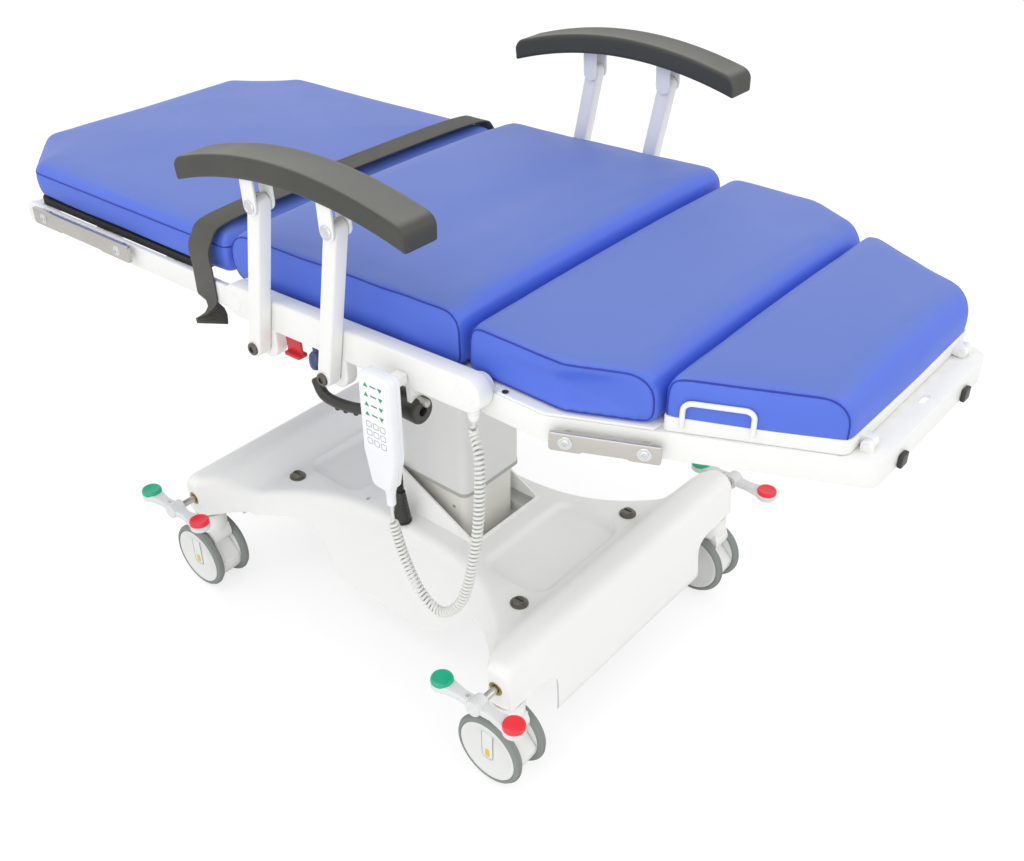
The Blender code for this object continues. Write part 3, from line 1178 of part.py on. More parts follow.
def arm_pad(side, sign, axis):
    """Arched armrest pad with a dished top, its two pivot tabs and their pins."""
    origin_s = ARM_PIVOT_S[0] + ARM_RISE[0]
    origin_h = ARM_PIVOT_H + ARM_RISE[1]
    first, last = PAD_S
    middle_s, half_s = (first + last) / 2, (last - first) / 2
    middle_y = sign * (PAD_INNER_Y + PAD_OUTER_Y) / 2
    half_y = (PAD_OUTER_Y - PAD_INNER_Y) / 2

    def underside(place):
        return PAD_MID_H - PAD_CROWN * ((place - middle_s) / half_s) ** 2

    rings = []
    for index in range(PAD_STATIONS):
        ratio = -math.cos(math.pi * index / (PAD_STATIONS - 1))
        place = middle_s + half_s * ratio
        close = PAD_END_SHARE if index in (0, PAD_STATIONS - 1) else 1.0
        base = underside(place) - origin_h + PAD_THICKNESS / 2
        rings.append([(place - origin_s, middle_y + across * half_y * close,
                       base + PAD_THICKNESS * (level - 0.5) * close) for across, level in PAD_SECTION])
    pad = part(loft(f"arm_pad_{side}", rings), ARM_FOAM, axis, smooth=True)
    inner_face = sign * (POST_INNER_Y - SLACK * 2)
    outer_face = sign * (POST_INNER_Y + POST_THICKNESS + SLACK * 2)
    thickness = sign * PAD_TAB_THICKNESS
    for index, place in enumerate(ARM_PIVOT_S):
        tab_s = place - ARM_PIVOT_S[0]
        roof = underside(place + ARM_RISE[0]) - origin_h + PAD_THICKNESS / 4
        tab = capsule((tab_s, -SLACK), (tab_s, roof), PAD_TAB_RADIUS)
        pin_end = outer_face + thickness
        join(pad, plate(f"pad_tab_inner_{side}_{index}", tab, inner_face - thickness, inner_face, UPRIGHT),
             rod(f"pad_pin_{side}_{index}", (tab_s, inner_face - thickness / 2, 0.0),
                 (tab_s, pin_end + sign * ARM_BOLT_HEAD / 2, 0.0), ARM_BOLT_RADIUS),
             plate(f"pad_tab_outer_{side}_{index}", tab, outer_face, pin_end, UPRIGHT),
             rod(f"pad_pin_head_{side}_{index}", (tab_s, pin_end - thickness / 2, 0.0),
                 (tab_s, pin_end + sign * ARM_BOLT_HEAD, 0.0), ARM_BOLT_HEAD_RADIUS))


def smooth_route(points, spacing):
    """Even points along a smooth curve through the route's own points."""
    route = [Vector(point) for point in points]
    padded = [2 * route[0] - route[1]] + route + [2 * route[-1] - route[-2]]
    dense = []
    for before, start, end, after in zip(padded, padded[1:], padded[2:], padded[3:]):
        for step in range(CORD_TRACE_STEPS):
            share = step / CORD_TRACE_STEPS
            dense.append(0.5 * (2 * start + (end - before) * share
                                + (2 * before - 5 * start + 4 * end - after) * share ** 2
                                + (3 * start - before - 3 * end + after) * share ** 3))
    dense.append(route[-1])
    lengths = [0.0]
    for start, end in zip(dense, dense[1:]):
        lengths.append(lengths[-1] + (end - start).length)
    count = max(2, round(lengths[-1] / spacing))
    even, cursor = [], 0
    for index in range(count + 1):
        target = lengths[-1] * index / count
        while cursor < len(lengths) - 2 and lengths[cursor + 1] < target:
            cursor += 1
        span = lengths[cursor + 1] - lengths[cursor]
        even.append(dense[cursor].lerp(dense[cursor + 1], (target - lengths[cursor]) / span))
    return even, lengths[-1]


def cord_points():
    """Route of the cord from the handset's socket to the gland under the beam's end."""
    start = Vector((HANDSET_X + CORD_OFFSET, sum(HANDSET_Y) / 2))
    span = Vector(GLAND_PLACE) - start
    return [(start.x + along * span.x, start.y + across * span.y, z) for along, across, z in CORD_ROUTE]


def curly_cord(upright, route):
    """Handset cord: a helix wound along its hanging route, with straight leads at both ends."""
    total = CORD_CURLS * CORD_POINTS_PER_CURL
    line, length = smooth_route(route, CORD_TRACE)
    coil_start, coil_end = CORD_LEAD, length - CORD_LEAD
    across = Vector((0.0, 1.0, 0.0))
    frames = []
    for index in range(len(line)):
        along = (line[min(index + 1, len(line) - 1)] - line[max(index - 1, 0)]).normalized()
        across = (across - along * across.dot(along)).normalized()
        frames.append((line[index], across.copy(), along.cross(across)))

    def centre(distance):
        return frames[min(len(frames) - 1, round(distance / length * (len(frames) - 1)))]

    wire = [centre(0.0)[0], centre(CORD_LEAD / 2)[0]]
    for index in range(total + 1):
        share = index / total
        place, side, up = centre(coil_start + (coil_end - coil_start) * share)
        angle = 2 * math.pi * CORD_CURLS * share
        swell = CORD_COIL_RADIUS * ease(min(share, 1.0 - share) * CORD_CURLS / CORD_SWELL_CURLS)
        wire.append(place + swell * (math.cos(angle) * side + math.sin(angle) * up))
    wire += [centre(length - CORD_LEAD / 2)[0], centre(length)[0]]
    print("handset cord: route", round(length, 4), "m, least gap to itself",
          round(1000 * least_gap(wire), 2), "mm")
    part(tube("handset_cord", wire, CORD_WIRE_RADIUS, 1), CORD, upright, smooth=True)


def least_gap(wire):
    """Least clear distance between stretches of the wire that are over half a curl apart."""
    least = math.inf
    window = CORD_POINTS_PER_CURL // 2 + 1
    for index, place in enumerate(wire):
        for other in range(index + window, min(len(wire) - 1, index + 4 * window)):
            start, end = wire[other], wire[other + 1]
            span = end - start
            share = min(1.0, max(0.0, (place - start).dot(span) / span.length_squared))
            least = min(least, (place - start - span * share).length)
    return least - 2 * CORD_WIRE_RADIUS


def handset_set(upright):
    """Handset on its hook, with the cord, the cord's gland and the small controls."""
    corners = [(-HANDSET_HALF_TOP, HANDSET_TOP), (-HANDSET_HALF_TOP, HANDSET_TAPER_Z),
               (-HANDSET_HALF_BOTTOM, HANDSET_BOTTOM), (HANDSET_HALF_BOTTOM, HANDSET_BOTTOM),
               (HANDSET_HALF_TOP, HANDSET_TAPER_Z), (HANDSET_HALF_TOP, HANDSET_TOP)]
    outline = [(HANDSET_X + x, z) for x, z in rounded(corners, HANDSET_CORNER, 3)]
    body = part(plate("handset", outline, *HANDSET_Y, UPRIGHT), HANDSET, upright)
    soften = body.modifiers.new("soften", "BEVEL")
    soften.width = HANDSET_BEVEL
    soften.segments = 1
    soften.limit_method = "ANGLE"
    route = cord_points()
    cord_x, cord_y, cord_z = route[0]
    join(body, rod("cord_socket", (cord_x, cord_y, cord_z + GAP), (cord_x, cord_y, HANDSET_BOTTOM + EMBED),
                   CORD_SOCKET_RADIUS))
    part(block("handset_hook", (HANDSET_X - HOOK_HALF_X, -BEAM_OUTER_Y - GAP, HOOK_Z - HOOK_HALF_Z),
               (HANDSET_X + HOOK_HALF_X, HANDSET_Y[1] + GAP, HOOK_Z + HOOK_HALF_Z)), WHITE, upright)
    curly_cord(upright, route)
    end_x, end_y, end_z = route[-1]
    beam_z = BACK_HINGE_Z + SEAT_SPAN * math.sin(SEAT_RISE) - BEAM_RADIUS
    part(rod("cord_gland", (end_x, end_y, end_z + GAP), (end_x, end_y, beam_z - GAP), GLAND_RADIUS),
         WHITE, upright, smooth=True)


def release_lever(upright):
    """Release lever with a round hub that turns on the pin under the near beam."""
    axis_y, axis_z = LEVER_AXIS
    axis = empty("lever_axis", (LEVER_HUB_X[1], axis_y, axis_z), upright)
    near_end = Vector((LEVER_HUB_X[1], axis_y, axis_z))
    hub = part(rod("release_lever", (LEVER_HUB_X[0] - near_end.x, 0, 0), (0, 0, 0), LEVER_HUB_RADIUS),
               BLACK, axis, smooth=True)
    route = [Vector((x, axis_y + y, z)) - near_end for x, y, z in LEVER_BAR]
    join(hub, tube("lever_bar", route, LEVER_BAR_RADIUS, 2))
    cut(hub, bore("lever_bore", (-LEVER_LUG_RADIUS * 2, 0, 0), (LEVER_LUG_RADIUS, 0, 0),
                  LEVER_PIN_RADIUS + SLACK))


def arm_lock(slope, upright):
    """Pull knob and release tab of the near armrest, under the beam."""
    knob_s, _ = seat_local(LOCK_KNOB_X, BACK_HINGE_Z)
    middle_y = -(BEAM_INNER_Y + BEAM_OUTER_Y) / 2
    low = -BEAM_RADIUS - GAP
    neck, drop = LOCK_KNOB_DROP
    profile = [(0.0, low), (LOCK_STEM_RADIUS, low), (LOCK_STEM_RADIUS, low - neck + LOCK_SHOULDER[0]),
               (LOCK_KNOB_RADIUS * LOCK_SHOULDER[1], low - neck), (LOCK_KNOB_RADIUS, low - (neck + drop) / 2),
               (LOCK_KNOB_RADIUS * LOCK_TIP[1], low - drop + LOCK_TIP[0]), (0.0, low - drop)]
    place = Matrix.Translation((knob_s, middle_y, 0.0))
    part(turned("arm_lock_knob", profile, FINE_SIDES, place), KNOB_BLUE, slope, smooth=True)
    first, last = (seat_local(x, BACK_HINGE_Z)[0] for x in TAB_X)
    hinge_h = low - TAB_STEM_RADIUS
    tab_axis = empty("tab_axis", (first, middle_y, hinge_h), slope)
    tab = part(rod("arm_release_tab", (0.0, 0.0, 0.0), (last - first, 0.0, 0.0), TAB_STEM_RADIUS), TAB_RED,
               tab_axis)
    length = last - first
    join(tab, block("tab_web", (EMBED, -TAB_THICKNESS / 2, -TAB_DROP), (length - EMBED, TAB_THICKNESS / 2, 0.0)),
         block("tab_plate", (EMBED / 2, -TAB_WIDTH / 2, -TAB_DROP - TAB_THICKNESS),
               (length - EMBED / 2, TAB_WIDTH / 2, -TAB_DROP + EMBED / 2)))


def build():
    """Make every piece under its axis marker."""
    chair = empty("chair", (FRAME_X, 0.0, 0.0))
    lift = empty("lift_axis", (0.0, 0.0, 0.0), chair)
    tilt = empty("tilt_axis", (COLUMN_X, 0.0, TILT_Z), lift)
    upright = empty("seat_upright", (-COLUMN_X, 0.0, -TILT_Z), tilt)
    slope = empty("seat_slope", (BACK_HINGE_X, 0.0, BACK_HINGE_Z), upright, -SEAT_RISE)
    back_axis = empty("back_axis", (BACK_HINGE_X, 0.0, BACK_HINGE_Z), upright, -BACK_DROP)
    leg_x = BACK_HINGE_X + SEAT_SPAN * math.cos(SEAT_RISE)
    leg_z = BACK_HINGE_Z + SEAT_SPAN * math.sin(SEAT_RISE)
    leg_axis = empty("leg_axis", (leg_x, 0.0, leg_z), upright)
    flap_axis = empty("flap_axis", (FLAP_HINGE[0], 0.0, FLAP_HINGE[1]), leg_axis)

    for end, end_sign in ENDS:
        for side, side_sign in SIDES:
            caster(end, end_sign, side, side_sign, chair)
    plate_top = base_frame(chair)
    brakes(chair)
    base_cover(chair)
    cover_knobs(chair)
    column(chair, lift, plate_top)
    conduit(chair)
    seat(slope)
    back(back_axis)
    leg(leg_axis)
    foot_flap(leg_axis, flap_axis)
    for side, sign in SIDES:
        armrest(side, sign, slope)
    handset_set(upright)
    release_lever(upright)
    arm_lock(slope, upright)
    bpy.context.view_layer.update()


build()
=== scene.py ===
"""Dressed procedure chair: fine meshes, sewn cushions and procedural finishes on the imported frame.

Metres, +Z up.  +X runs to the foot end, -Y is the side that carries the handset, the floor is z = 0.
"""

import logging
import math
from dataclasses import dataclass, field
from enum import Enum
from typing import Callable, Iterator, Sequence

import bmesh
import bpy
from mathutils import Matrix, Vector, noise
from mathutils.bvhtree import BVHTree


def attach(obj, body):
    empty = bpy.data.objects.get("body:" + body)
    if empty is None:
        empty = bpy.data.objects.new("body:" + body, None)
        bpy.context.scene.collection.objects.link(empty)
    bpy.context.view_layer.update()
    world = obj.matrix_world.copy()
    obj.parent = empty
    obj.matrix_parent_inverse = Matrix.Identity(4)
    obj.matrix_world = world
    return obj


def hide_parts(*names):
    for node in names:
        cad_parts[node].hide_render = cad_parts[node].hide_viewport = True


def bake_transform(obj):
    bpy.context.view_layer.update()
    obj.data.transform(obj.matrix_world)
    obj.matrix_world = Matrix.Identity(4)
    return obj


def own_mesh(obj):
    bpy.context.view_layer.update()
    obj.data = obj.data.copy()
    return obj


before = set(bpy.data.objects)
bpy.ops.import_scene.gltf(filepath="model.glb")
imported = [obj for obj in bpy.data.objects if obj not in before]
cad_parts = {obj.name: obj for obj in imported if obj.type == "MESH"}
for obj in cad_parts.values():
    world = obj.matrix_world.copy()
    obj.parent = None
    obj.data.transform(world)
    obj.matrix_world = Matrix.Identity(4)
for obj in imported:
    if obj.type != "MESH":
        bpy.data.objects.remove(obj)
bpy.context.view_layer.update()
LOG = logging.getLogger("procedure_chair")

Piece = bpy.types.Object
NodeTree = bpy.types.NodeTree
Point = Sequence[float]
Pair = tuple[float, float]
Outline = list[Vector]
Rings = list[list[Point]]
Shade = tuple[int, int, int]


# Places of the sections at rest
def shift(x: float, y: float = 0.0, z: float = 0.0) -> Matrix:
    """Place moved along the axes."""
    return Matrix.Translation((x, y, z))


def tipped(x: float, z: float, degrees: float = 0.0) -> Matrix:
    """Frame of a section: its hinge place and its slope, positive where the foot end rises."""
    return shift(x, 0.0, z) @ Matrix.Rotation(-math.radians(degrees), 4, "Y")


CHAIR = tipped(-0.0007, 0.0)
SEAT = tipped(-0.0967, 0.6965, 2.6)
BACK = tipped(-0.0967, 0.6965, 1.5)
LEG = tipped(0.33985, 0.716324)
FLAP = tipped(0.75935, 0.722324)
UPRIGHT = Matrix(((1, 0, 0, 0), (0, 0, 1, 0), (0, 1, 0, 0), (0, 0, 0, 1)))
CROSSWISE = Matrix(((0, 0, 1, 0), (1, 0, 0, 0), (0, 1, 0, 0), (0, 0, 0, 1)))
FLAT = Matrix.Identity(4)


class Side(Enum):
    """Sides of the chair, with the sign of Y."""

    NEAR = -1
    FAR = 1

    @property
    def label(self) -> str:
        """Name as the bodies and nodes use it."""
        return self.name.lower()

    @property
    def out(self) -> Point:
        """Direction away from the chair's middle."""
        return 0.0, self.value, 0.0

    def span(self, first: float, last: float) -> list[float]:
        """Lower and higher Y between two distances from the middle."""
        return sorted((self.value * first, self.value * last))


class End(Enum):
    """Ends of the base, with the sign of X."""

    HEAD = -1
    FOOT = 1

    @property
    def label(self) -> str:
        """Name as the bodies and nodes use it."""
        return self.name.lower()


class Texture(Enum):
    """Surface effects, each a shader node group built once."""

    GRAIN = "leather_grain"
    PEEL = "paint_peel"
    BRUSHED = "brushed_lines"
    WEAVE = "woven_rows"


def eased(share: float) -> float:
    """Smooth step from 0 to 1 as a share goes from 0 to 1, level outside."""
    held = min(1.0, max(0.0, share))
    return held * held * (3.0 - 2.0 * held)


def leg_half(place: float) -> float:
    """Outer half width of the leg frame at a place along it: straight, then tapering to the foot end."""
    return 0.3155 - max(0.0, place - 0.1) * math.tan(math.radians(25.4))


# Finishes
def srgb(shade: Shade) -> tuple[float, float, float, float]:
    """Linear opaque colour of an 8-bit display colour."""
    shares = [value / 255.0 for value in shade]
    return *(share / 12.92 if share <= 0.04045 else ((share + 0.055) / 1.055) ** 2.4 for share in shares), 1.0


class Graph:
    """Shader node tree under construction."""

    def __init__(self, tree: NodeTree) -> None:
        """Take over a tree."""
        self.tree = tree

    def fill(self, node: bpy.types.Node, sockets: dict[str | int, object]) -> bpy.types.Node:
        """Give a node's inputs their values and links.

        Args:
            node: Node of this tree.
            sockets: Plain value, or another node's output, for each input by its name or number.

        Returns:
            The same node.
        """
        for key, value in sockets.items():
            if isinstance(value, bpy.types.NodeSocket):
                self.tree.links.new(value, node.inputs[key])
            else:
                node.inputs[key].default_value = value
        return node

    def add(self, kind: str, sockets: dict[str | int, object] | None = None, **settings: object) -> bpy.types.Node:
        """New node with its inputs filled.

        Args:
            kind: Kind of the node, without its prefix.
            sockets: Value or output for each input.
            settings: Plain settings of the node.

        Returns:
            The node.
        """
        node = self.tree.nodes.new(f"ShaderNode{kind}")
        for key, value in settings.items():
            setattr(node, key, value)
        return self.fill(node, sockets or {})


class Group(Graph):
    """Shader node group with named inputs and outputs."""

    def __init__(self, name: str, inputs: dict[str, str | float], outputs: dict[str, str]) -> None:
        """Make the group and its sockets.

        Args:
            name: Name of the group.
            inputs: Socket kind of each input, or the default of a plain number.
            outputs: Socket kind of each output.
        """
        super().__init__(bpy.data.node_groups.new(name, "ShaderNodeTree"))
        for label, given in inputs.items():
            kind = given if isinstance(given, str) else "Float"
            socket = self.tree.interface.new_socket(name=label, in_out="INPUT", socket_type=f"NodeSocket{kind}")
            if not isinstance(given, str):
                socket.default_value = given
        for label, kind in outputs.items():
            self.tree.interface.new_socket(name=label, in_out="OUTPUT", socket_type=f"NodeSocket{kind}")
        self.given = self.tree.nodes.new("NodeGroupInput").outputs

    def passed(self, *labels: str) -> dict[str | int, object]:
        """The group's own inputs, for a node whose inputs have the same names."""
        return {label: self.given[label] for label in labels}

    def done(self, **results: bpy.types.NodeSocket) -> NodeTree:
        """Send the results out of the group and hand over its tree."""
        self.fill(self.tree.nodes.new("NodeGroupOutput"), results)
        return self.tree


class Effects:
    """Shader node groups that the finishes share."""

    @staticmethod
    def mottle() -> NodeTree:
        """Soft blotches: a colour between two shades and a value between two limits."""
        group = Group("mottle", {"Vector": "Vector", "Scale": 9.0, "Colour": "Color", "Shade": "Color", "Low": 0.4,
                                 "High": 0.5}, {"Colour": "Color", "Value": "Float"})
        given = group.given
        cloud = group.add("TexNoise", {**group.passed("Vector", "Scale"), "Detail": 5.0, "Roughness": 0.6})
        share = cloud.outputs["Fac"]
        mix = group.add("Mix", {0: share, 6: given["Colour"], 7: given["Shade"]}, data_type="RGBA")
        span = group.add("MapRange", {"Value": share, "From Min": 0.3, "From Max": 0.7, "To Min": given["Low"],
                                      "To Max": given["High"]})
        return group.done(Colour=mix.outputs[2], Value=span.outputs["Result"])

    @staticmethod
    def wear() -> NodeTree:
        """Rubbed edges and small scuffs, as a mask."""
        group = Group("wear", {"Vector": "Vector", "Scale": 60.0, "Amount": 0.4}, {"Mask": "Float"})
        sharp = group.add("NewGeometry").outputs["Pointiness"]
        edge = group.add("MapRange", {"Value": sharp, "From Min": 0.53, "From Max": 0.64})
        cloud = group.add("TexNoise", {**group.passed("Vector", "Scale"), "Detail": 8.0})
        scuff = group.add("MapRange", {"Value": cloud.outputs["Fac"], "From Min": 0.46, "From Max": 0.72})
        both = group.add("Math", {0: edge.outputs["Result"], 1: scuff.outputs["Result"]}, operation="MULTIPLY")
        scaled = group.add("Math", {0: both.outputs[0], 1: group.given["Amount"]}, operation="MULTIPLY")
        return group.done(Mask=scaled.outputs[0])

    @staticmethod
    def faded_top() -> NodeTree:
        """Painted highlight on upper faces, where the overhead light falls, as a mask from the piece's own normal."""
        group = Group("faded_top", {"Vector": "Vector", "Amount": 0.5}, {"Mask": "Float"})
        split = group.add("SeparateXYZ", {0: group.given["Vector"]})
        span = group.add("MapRange", {"Value": split.outputs["Z"], "From Min": 0.62, "From Max": 1.0},
                         interpolation_type="SMOOTHSTEP")
        scaled = group.add("Math", {0: span.outputs["Result"], 1: group.given["Amount"]}, operation="MULTIPLY")
        return group.done(Mask=scaled.outputs[0])

    @staticmethod
    def leather_grain() -> NodeTree:
        """Pebbled vinyl grain: rounded cells with fine pores."""
        group = Group(Texture.GRAIN.value, {"Vector": "Vector", "Scale": 900.0}, {"Height": "Float"})
        place = group.passed("Vector", "Scale")
        cells = group.add("TexVoronoi", place, feature="SMOOTH_F1")
        pores = group.add("TexNoise", {**place, "Detail": 3.0})
        mix = group.add("Math", {0: pores.outputs["Fac"], 1: 0.45, 2: cells.outputs["Distance"]},
                        operation="MULTIPLY_ADD")
        return group.done(Height=mix.outputs[0])

    @staticmethod
    def paint_peel() -> NodeTree:
        """Fine orange peel of powder paint and moulded plastic."""
        group = Group(Texture.PEEL.value, {"Vector": "Vector", "Scale": 500.0}, {"Height": "Float"})
        peel = group.add("TexNoise", {**group.passed("Vector", "Scale"), "Detail": 2.0})
        return group.done(Height=peel.outputs["Fac"])

    @staticmethod
    def brushed_lines() -> NodeTree:
        """Fine lines along X, as a rolled or brushed metal has."""
        group = Group(Texture.BRUSHED.value, {"Vector": "Vector", "Scale": 60.0}, {"Height": "Float"})
        stretch = group.add("Mapping", {**group.passed("Vector"), "Scale": (0.35, 26.0, 26.0)})
        lines = group.add("TexNoise", {**group.passed("Scale"), "Vector": stretch.outputs["Vector"], "Detail": 6.0})
        return group.done(Height=lines.outputs["Fac"])

    @staticmethod
    def woven_rows() -> NodeTree:
        """Plain weave: two crossing rows of threads that take turns."""
        group = Group(Texture.WEAVE.value, {"Vector": "Vector", "Scale": 260.0}, {"Height": "Float"})
        place = group.passed("Vector", "Scale")
        warp, weft = (group.add("TexWave", place, bands_direction=axis) for axis in ("X", "DIAGONAL"))
        turn = group.add("TexChecker", place)
        mix = group.add("Mix", {0: turn.outputs["Fac"], 2: warp.outputs["Fac"], 3: weft.outputs["Fac"]},
                        data_type="FLOAT")
        return group.done(Height=mix.outputs[0])

    @classmethod
    def get(cls, name: str) -> NodeTree:
        """Group of a name, built the first time that it is asked for."""
        return bpy.data.node_groups.get(name) or getattr(cls, name)()


@dataclass(frozen=True)
class Finish:
    """Material of a piece: two close shades, a roughness span, a surface effect, rubbed edges and a painted highlight
    on upward faces.
    """

    name: str
    slot: str
    colour: Shade
    shade: Shade
    roughness: Pair
    texture: Texture = Texture.PEEL
    scale: float = 800.0
    depth: float = 0.0002
    metallic: float = 0.0
    coat: float = 0.0
    sheen: float = 0.0
    wear: float = 0.0
    worn: Shade = (188, 188, 188)
    blotch: float = 9.0
    strength: float = 0.5
    # painted highlight: a paler tint on upward faces, standing in for the light that falls on them
    fade: float = 0.0
    faded: Shade = (188, 188, 188)

    def material(self) -> bpy.types.Material:
        """Procedural material, made once for each finish.

        Returns:
            The material.
        """
        if self.name in bpy.data.materials:
            return bpy.data.materials[self.name]
        made = bpy.data.materials.new(self.name)
        made.use_nodes = True
        graph = Graph(made.node_tree)
        places = graph.add("TexCoord").outputs

        def effect(name: str, source: str = "Object", **values: object) -> bpy.types.bpy_prop_collection:
            """Outputs of an effect with its own values."""
            return graph.add("Group", {"Vector": places[source], **values}, node_tree=Effects.get(name)).outputs

        blotches = effect("mottle", Scale=self.blotch, Colour=srgb(self.colour), Shade=srgb(self.shade),
                          Low=self.roughness[0], High=self.roughness[1])
        colour = blotches["Colour"]
        layers = [(effect("wear", Amount=self.wear), self.worn)] if self.wear else []
        # painted highlight: upward faces are mixed towards a paler tint
        if self.fade:
            layers.append((effect("faded_top", "Normal", Amount=self.fade), self.faded))
        for mask, tint in layers:
            colour = graph.add("Mix", {0: mask["Mask"], 6: colour, 7: srgb(tint)}, data_type="RGBA").outputs[2]
        relief = effect(self.texture.value, Scale=self.scale)["Height"]
        bump = graph.add("Bump", {"Strength": self.strength, "Distance": self.depth, "Height": relief})
        graph.fill(made.node_tree.nodes["Principled BSDF"], {
            "Base Color": colour, "Roughness": blotches["Value"], "Normal": bump.outputs["Normal"],
            "Metallic": self.metallic, "Coat Weight": self.coat, "Sheen Weight": self.sheen})
        return made


PAINT = Finish("powder_paint", "powder_white", (243, 243, 241), (236, 236, 233), (0.3, 0.42), scale=620.0,
               depth=0.0003, wear=0.35, worn=(196, 194, 188))
MOULDED = Finish("moulded_cover", "moulded_white", (246, 246, 244), (241, 241, 239), (0.42, 0.55), scale=900.0,
                 depth=0.0003, wear=0.25, worn=(226, 225, 220), blotch=5.0)
SHROUD = Finish("column_shroud", "column_grey", (224, 225, 223), (217, 218, 216), (0.34, 0.44),
                texture=Texture.BRUSHED, scale=40.0, coat=0.1)
# painted shade: a darker grey band for the shadow gap at the shroud's lower edge
SHADOW_GAP_PAINT = Finish("shroud_hem", "column_grey", (176, 176, 172), (168, 168, 164), (0.4, 0.5), scale=700.0)
STAGE = Finish("column_stage", "column_pale", (228, 227, 219), (219, 218, 210), (0.36, 0.48), texture=Texture.BRUSHED,
               scale=40.0)
# the paler tops of the vinyl are a painted highlight
VINYL = Finish("blue_upholstery", "blue_vinyl", (80, 112, 220), (75, 106, 214), (0.4, 0.5), texture=Texture.GRAIN,
               scale=1150.0, depth=0.0004, blotch=4.0, strength=0.35, fade=0.8, faded=(94, 117, 188))
THREAD = Finish("seam_thread", "blue_vinyl", (44, 64, 176), (34, 50, 150), (0.55, 0.7), texture=Texture.WEAVE,
                scale=700.0, depth=0.0003)
# the paler tops of the arm foam are a painted highlight
FOAM = Finish("arm_foam_skin", "arm_foam", (66, 66, 59), (60, 60, 54), (0.48, 0.6), texture=Texture.GRAIN,
              scale=1300.0, depth=0.0004, blotch=14.0, strength=0.4, fade=0.8, faded=(110, 110, 106))
BLACK = Finish("black_moulding", "black_plastic", (52, 51, 47), (42, 41, 38), (0.32, 0.45), wear=0.4,
               worn=(96, 95, 90))
OLIVE = Finish("olive_knob", "black_plastic", (92, 89, 74), (78, 75, 62), (0.26, 0.38), coat=0.3, wear=0.4,
               worn=(150, 147, 132))
BOARD = Finish("black_board", "black_plastic", (34, 34, 32), (28, 28, 27), (0.6, 0.75), scale=500.0, depth=0.0004)
STEEL = Finish("brushed_rail", "steel", (205, 202, 195), (190, 187, 180), (0.26, 0.38), texture=Texture.BRUSHED,
               scale=55.0, depth=0.0003, metallic=1.0, strength=0.3)
BOLT = Finish("bolt_steel", "steel", (120, 118, 108), (92, 90, 82), (0.28, 0.4), scale=900.0, metallic=0.9)
SCREW = Finish("washer_zinc", "steel", (226, 227, 228), (208, 209, 211), (0.2, 0.34), scale=900.0, metallic=0.7)
DECK = Finish("deck_paint", "deck_grey", (206, 206, 202), (194, 194, 190), (0.36, 0.5), scale=620.0, depth=0.0003,
              metallic=0.1)
TYRE = Finish("tyre_rubber", "tyre_rubber", (138, 142, 140), (124, 128, 126), (0.6, 0.75), scale=700.0, depth=0.0006,
              blotch=20.0)
DISC = Finish("wheel_disc", "pedal_plastic", (234, 235, 233), (226, 227, 225), (0.34, 0.45), scale=700.0)
INSERT = Finish("wheel_insert", "pedal_plastic", (240, 198, 70), (232, 186, 58), (0.35, 0.45))
PEDAL = Finish("pedal_grey", "pedal_plastic", (228, 229, 230), (218, 219, 220), (0.34, 0.46), scale=700.0, wear=0.3,
               worn=(190, 190, 190))
GREEN = Finish("pedal_green", "pedal_plastic", (2, 182, 138), (0, 170, 128), (0.32, 0.42), scale=700.0, coat=0.2)
RED = Finish("pedal_red", "pedal_plastic", (248, 46, 62), (238, 38, 54), (0.32, 0.42), scale=700.0, coat=0.2)
WEBBING = Finish("strap_webbing", "webbing", (66, 64, 52), (54, 52, 42), (0.75, 0.9), texture=Texture.WEAVE,
                 scale=330.0, depth=0.0009, sheen=0.3, blotch=40.0, strength=0.8)
SLEEVE = Finish("braided_sleeve", "black_plastic", (46, 45, 40), (34, 33, 30), (0.5, 0.7), texture=Texture.WEAVE,
                scale=420.0, depth=0.0008, blotch=60.0, strength=0.8)
HANDSET = Finish("handset_shell", "handset_plastic", (238, 240, 243), (230, 232, 236), (0.3, 0.4), coat=0.15)
KEYPAD = Finish("keypad_film", "handset_plastic", (243, 245, 247), (236, 239, 242), (0.36, 0.46), scale=1200.0,
                depth=0.0001)
KEY_GREEN = Finish("key_green", "handset_plastic", (30, 160, 104), (24, 146, 94), (0.36, 0.46), scale=1200.0,
                   depth=0.0001)
KEY_GREY = Finish("key_outline", "handset_plastic", (120, 128, 140), (104, 112, 124), (0.4, 0.5), scale=1200.0,
                  depth=0.0001)
CORD = Finish("cord_jacket", "cord_jacket", (224, 225, 221), (214, 215, 211), (0.4, 0.52), scale=900.0)
BLUE_KNOB = Finish("lock_knob_blue", "knob_blue", (56, 70, 116), (46, 58, 100), (0.25, 0.36), coat=0.3)
RED_TAB = Finish("release_red", "tab_red", (210, 52, 58), (196, 42, 50), (0.3, 0.42))
BRASS = Finish("brass_bush", "steel", (176, 150, 96), (152, 128, 80), (0.3, 0.42), scale=900.0, metallic=0.9)
HOLLOW = Finish("dark_hollow", "black_plastic", (92, 90, 74), (78, 76, 62), (0.6, 0.75), scale=500.0, depth=0.0003)


# Mesh tools
def to_object(name: str, shape: bmesh.types.BMesh, angle: float = 36.0) -> Piece:
    """Linked object from a bmesh, which is used up.

    Args:
        name: Name of the piece.
        shape: Its bmesh.
        angle: Angle in degrees above which an edge stays crisp.

    Returns:
        The linked piece.
    """
    bmesh.ops.recalc_face_normals(shape, faces=shape.faces)
    mesh = bpy.data.meshes.new(name)
    shape.to_mesh(mesh)
    shape.free()
    piece = bpy.data.objects.new(name, mesh)
    bpy.context.scene.collection.objects.link(piece)
    return smooth(piece, angle)


def smooth(piece: Piece, angle: float = 36.0) -> Piece:
    """Smooth shading that keeps edges sharper than the angle."""
    piece.data.shade_smooth()
    piece.data.set_sharp_from_angle(angle=math.radians(angle))
    return piece


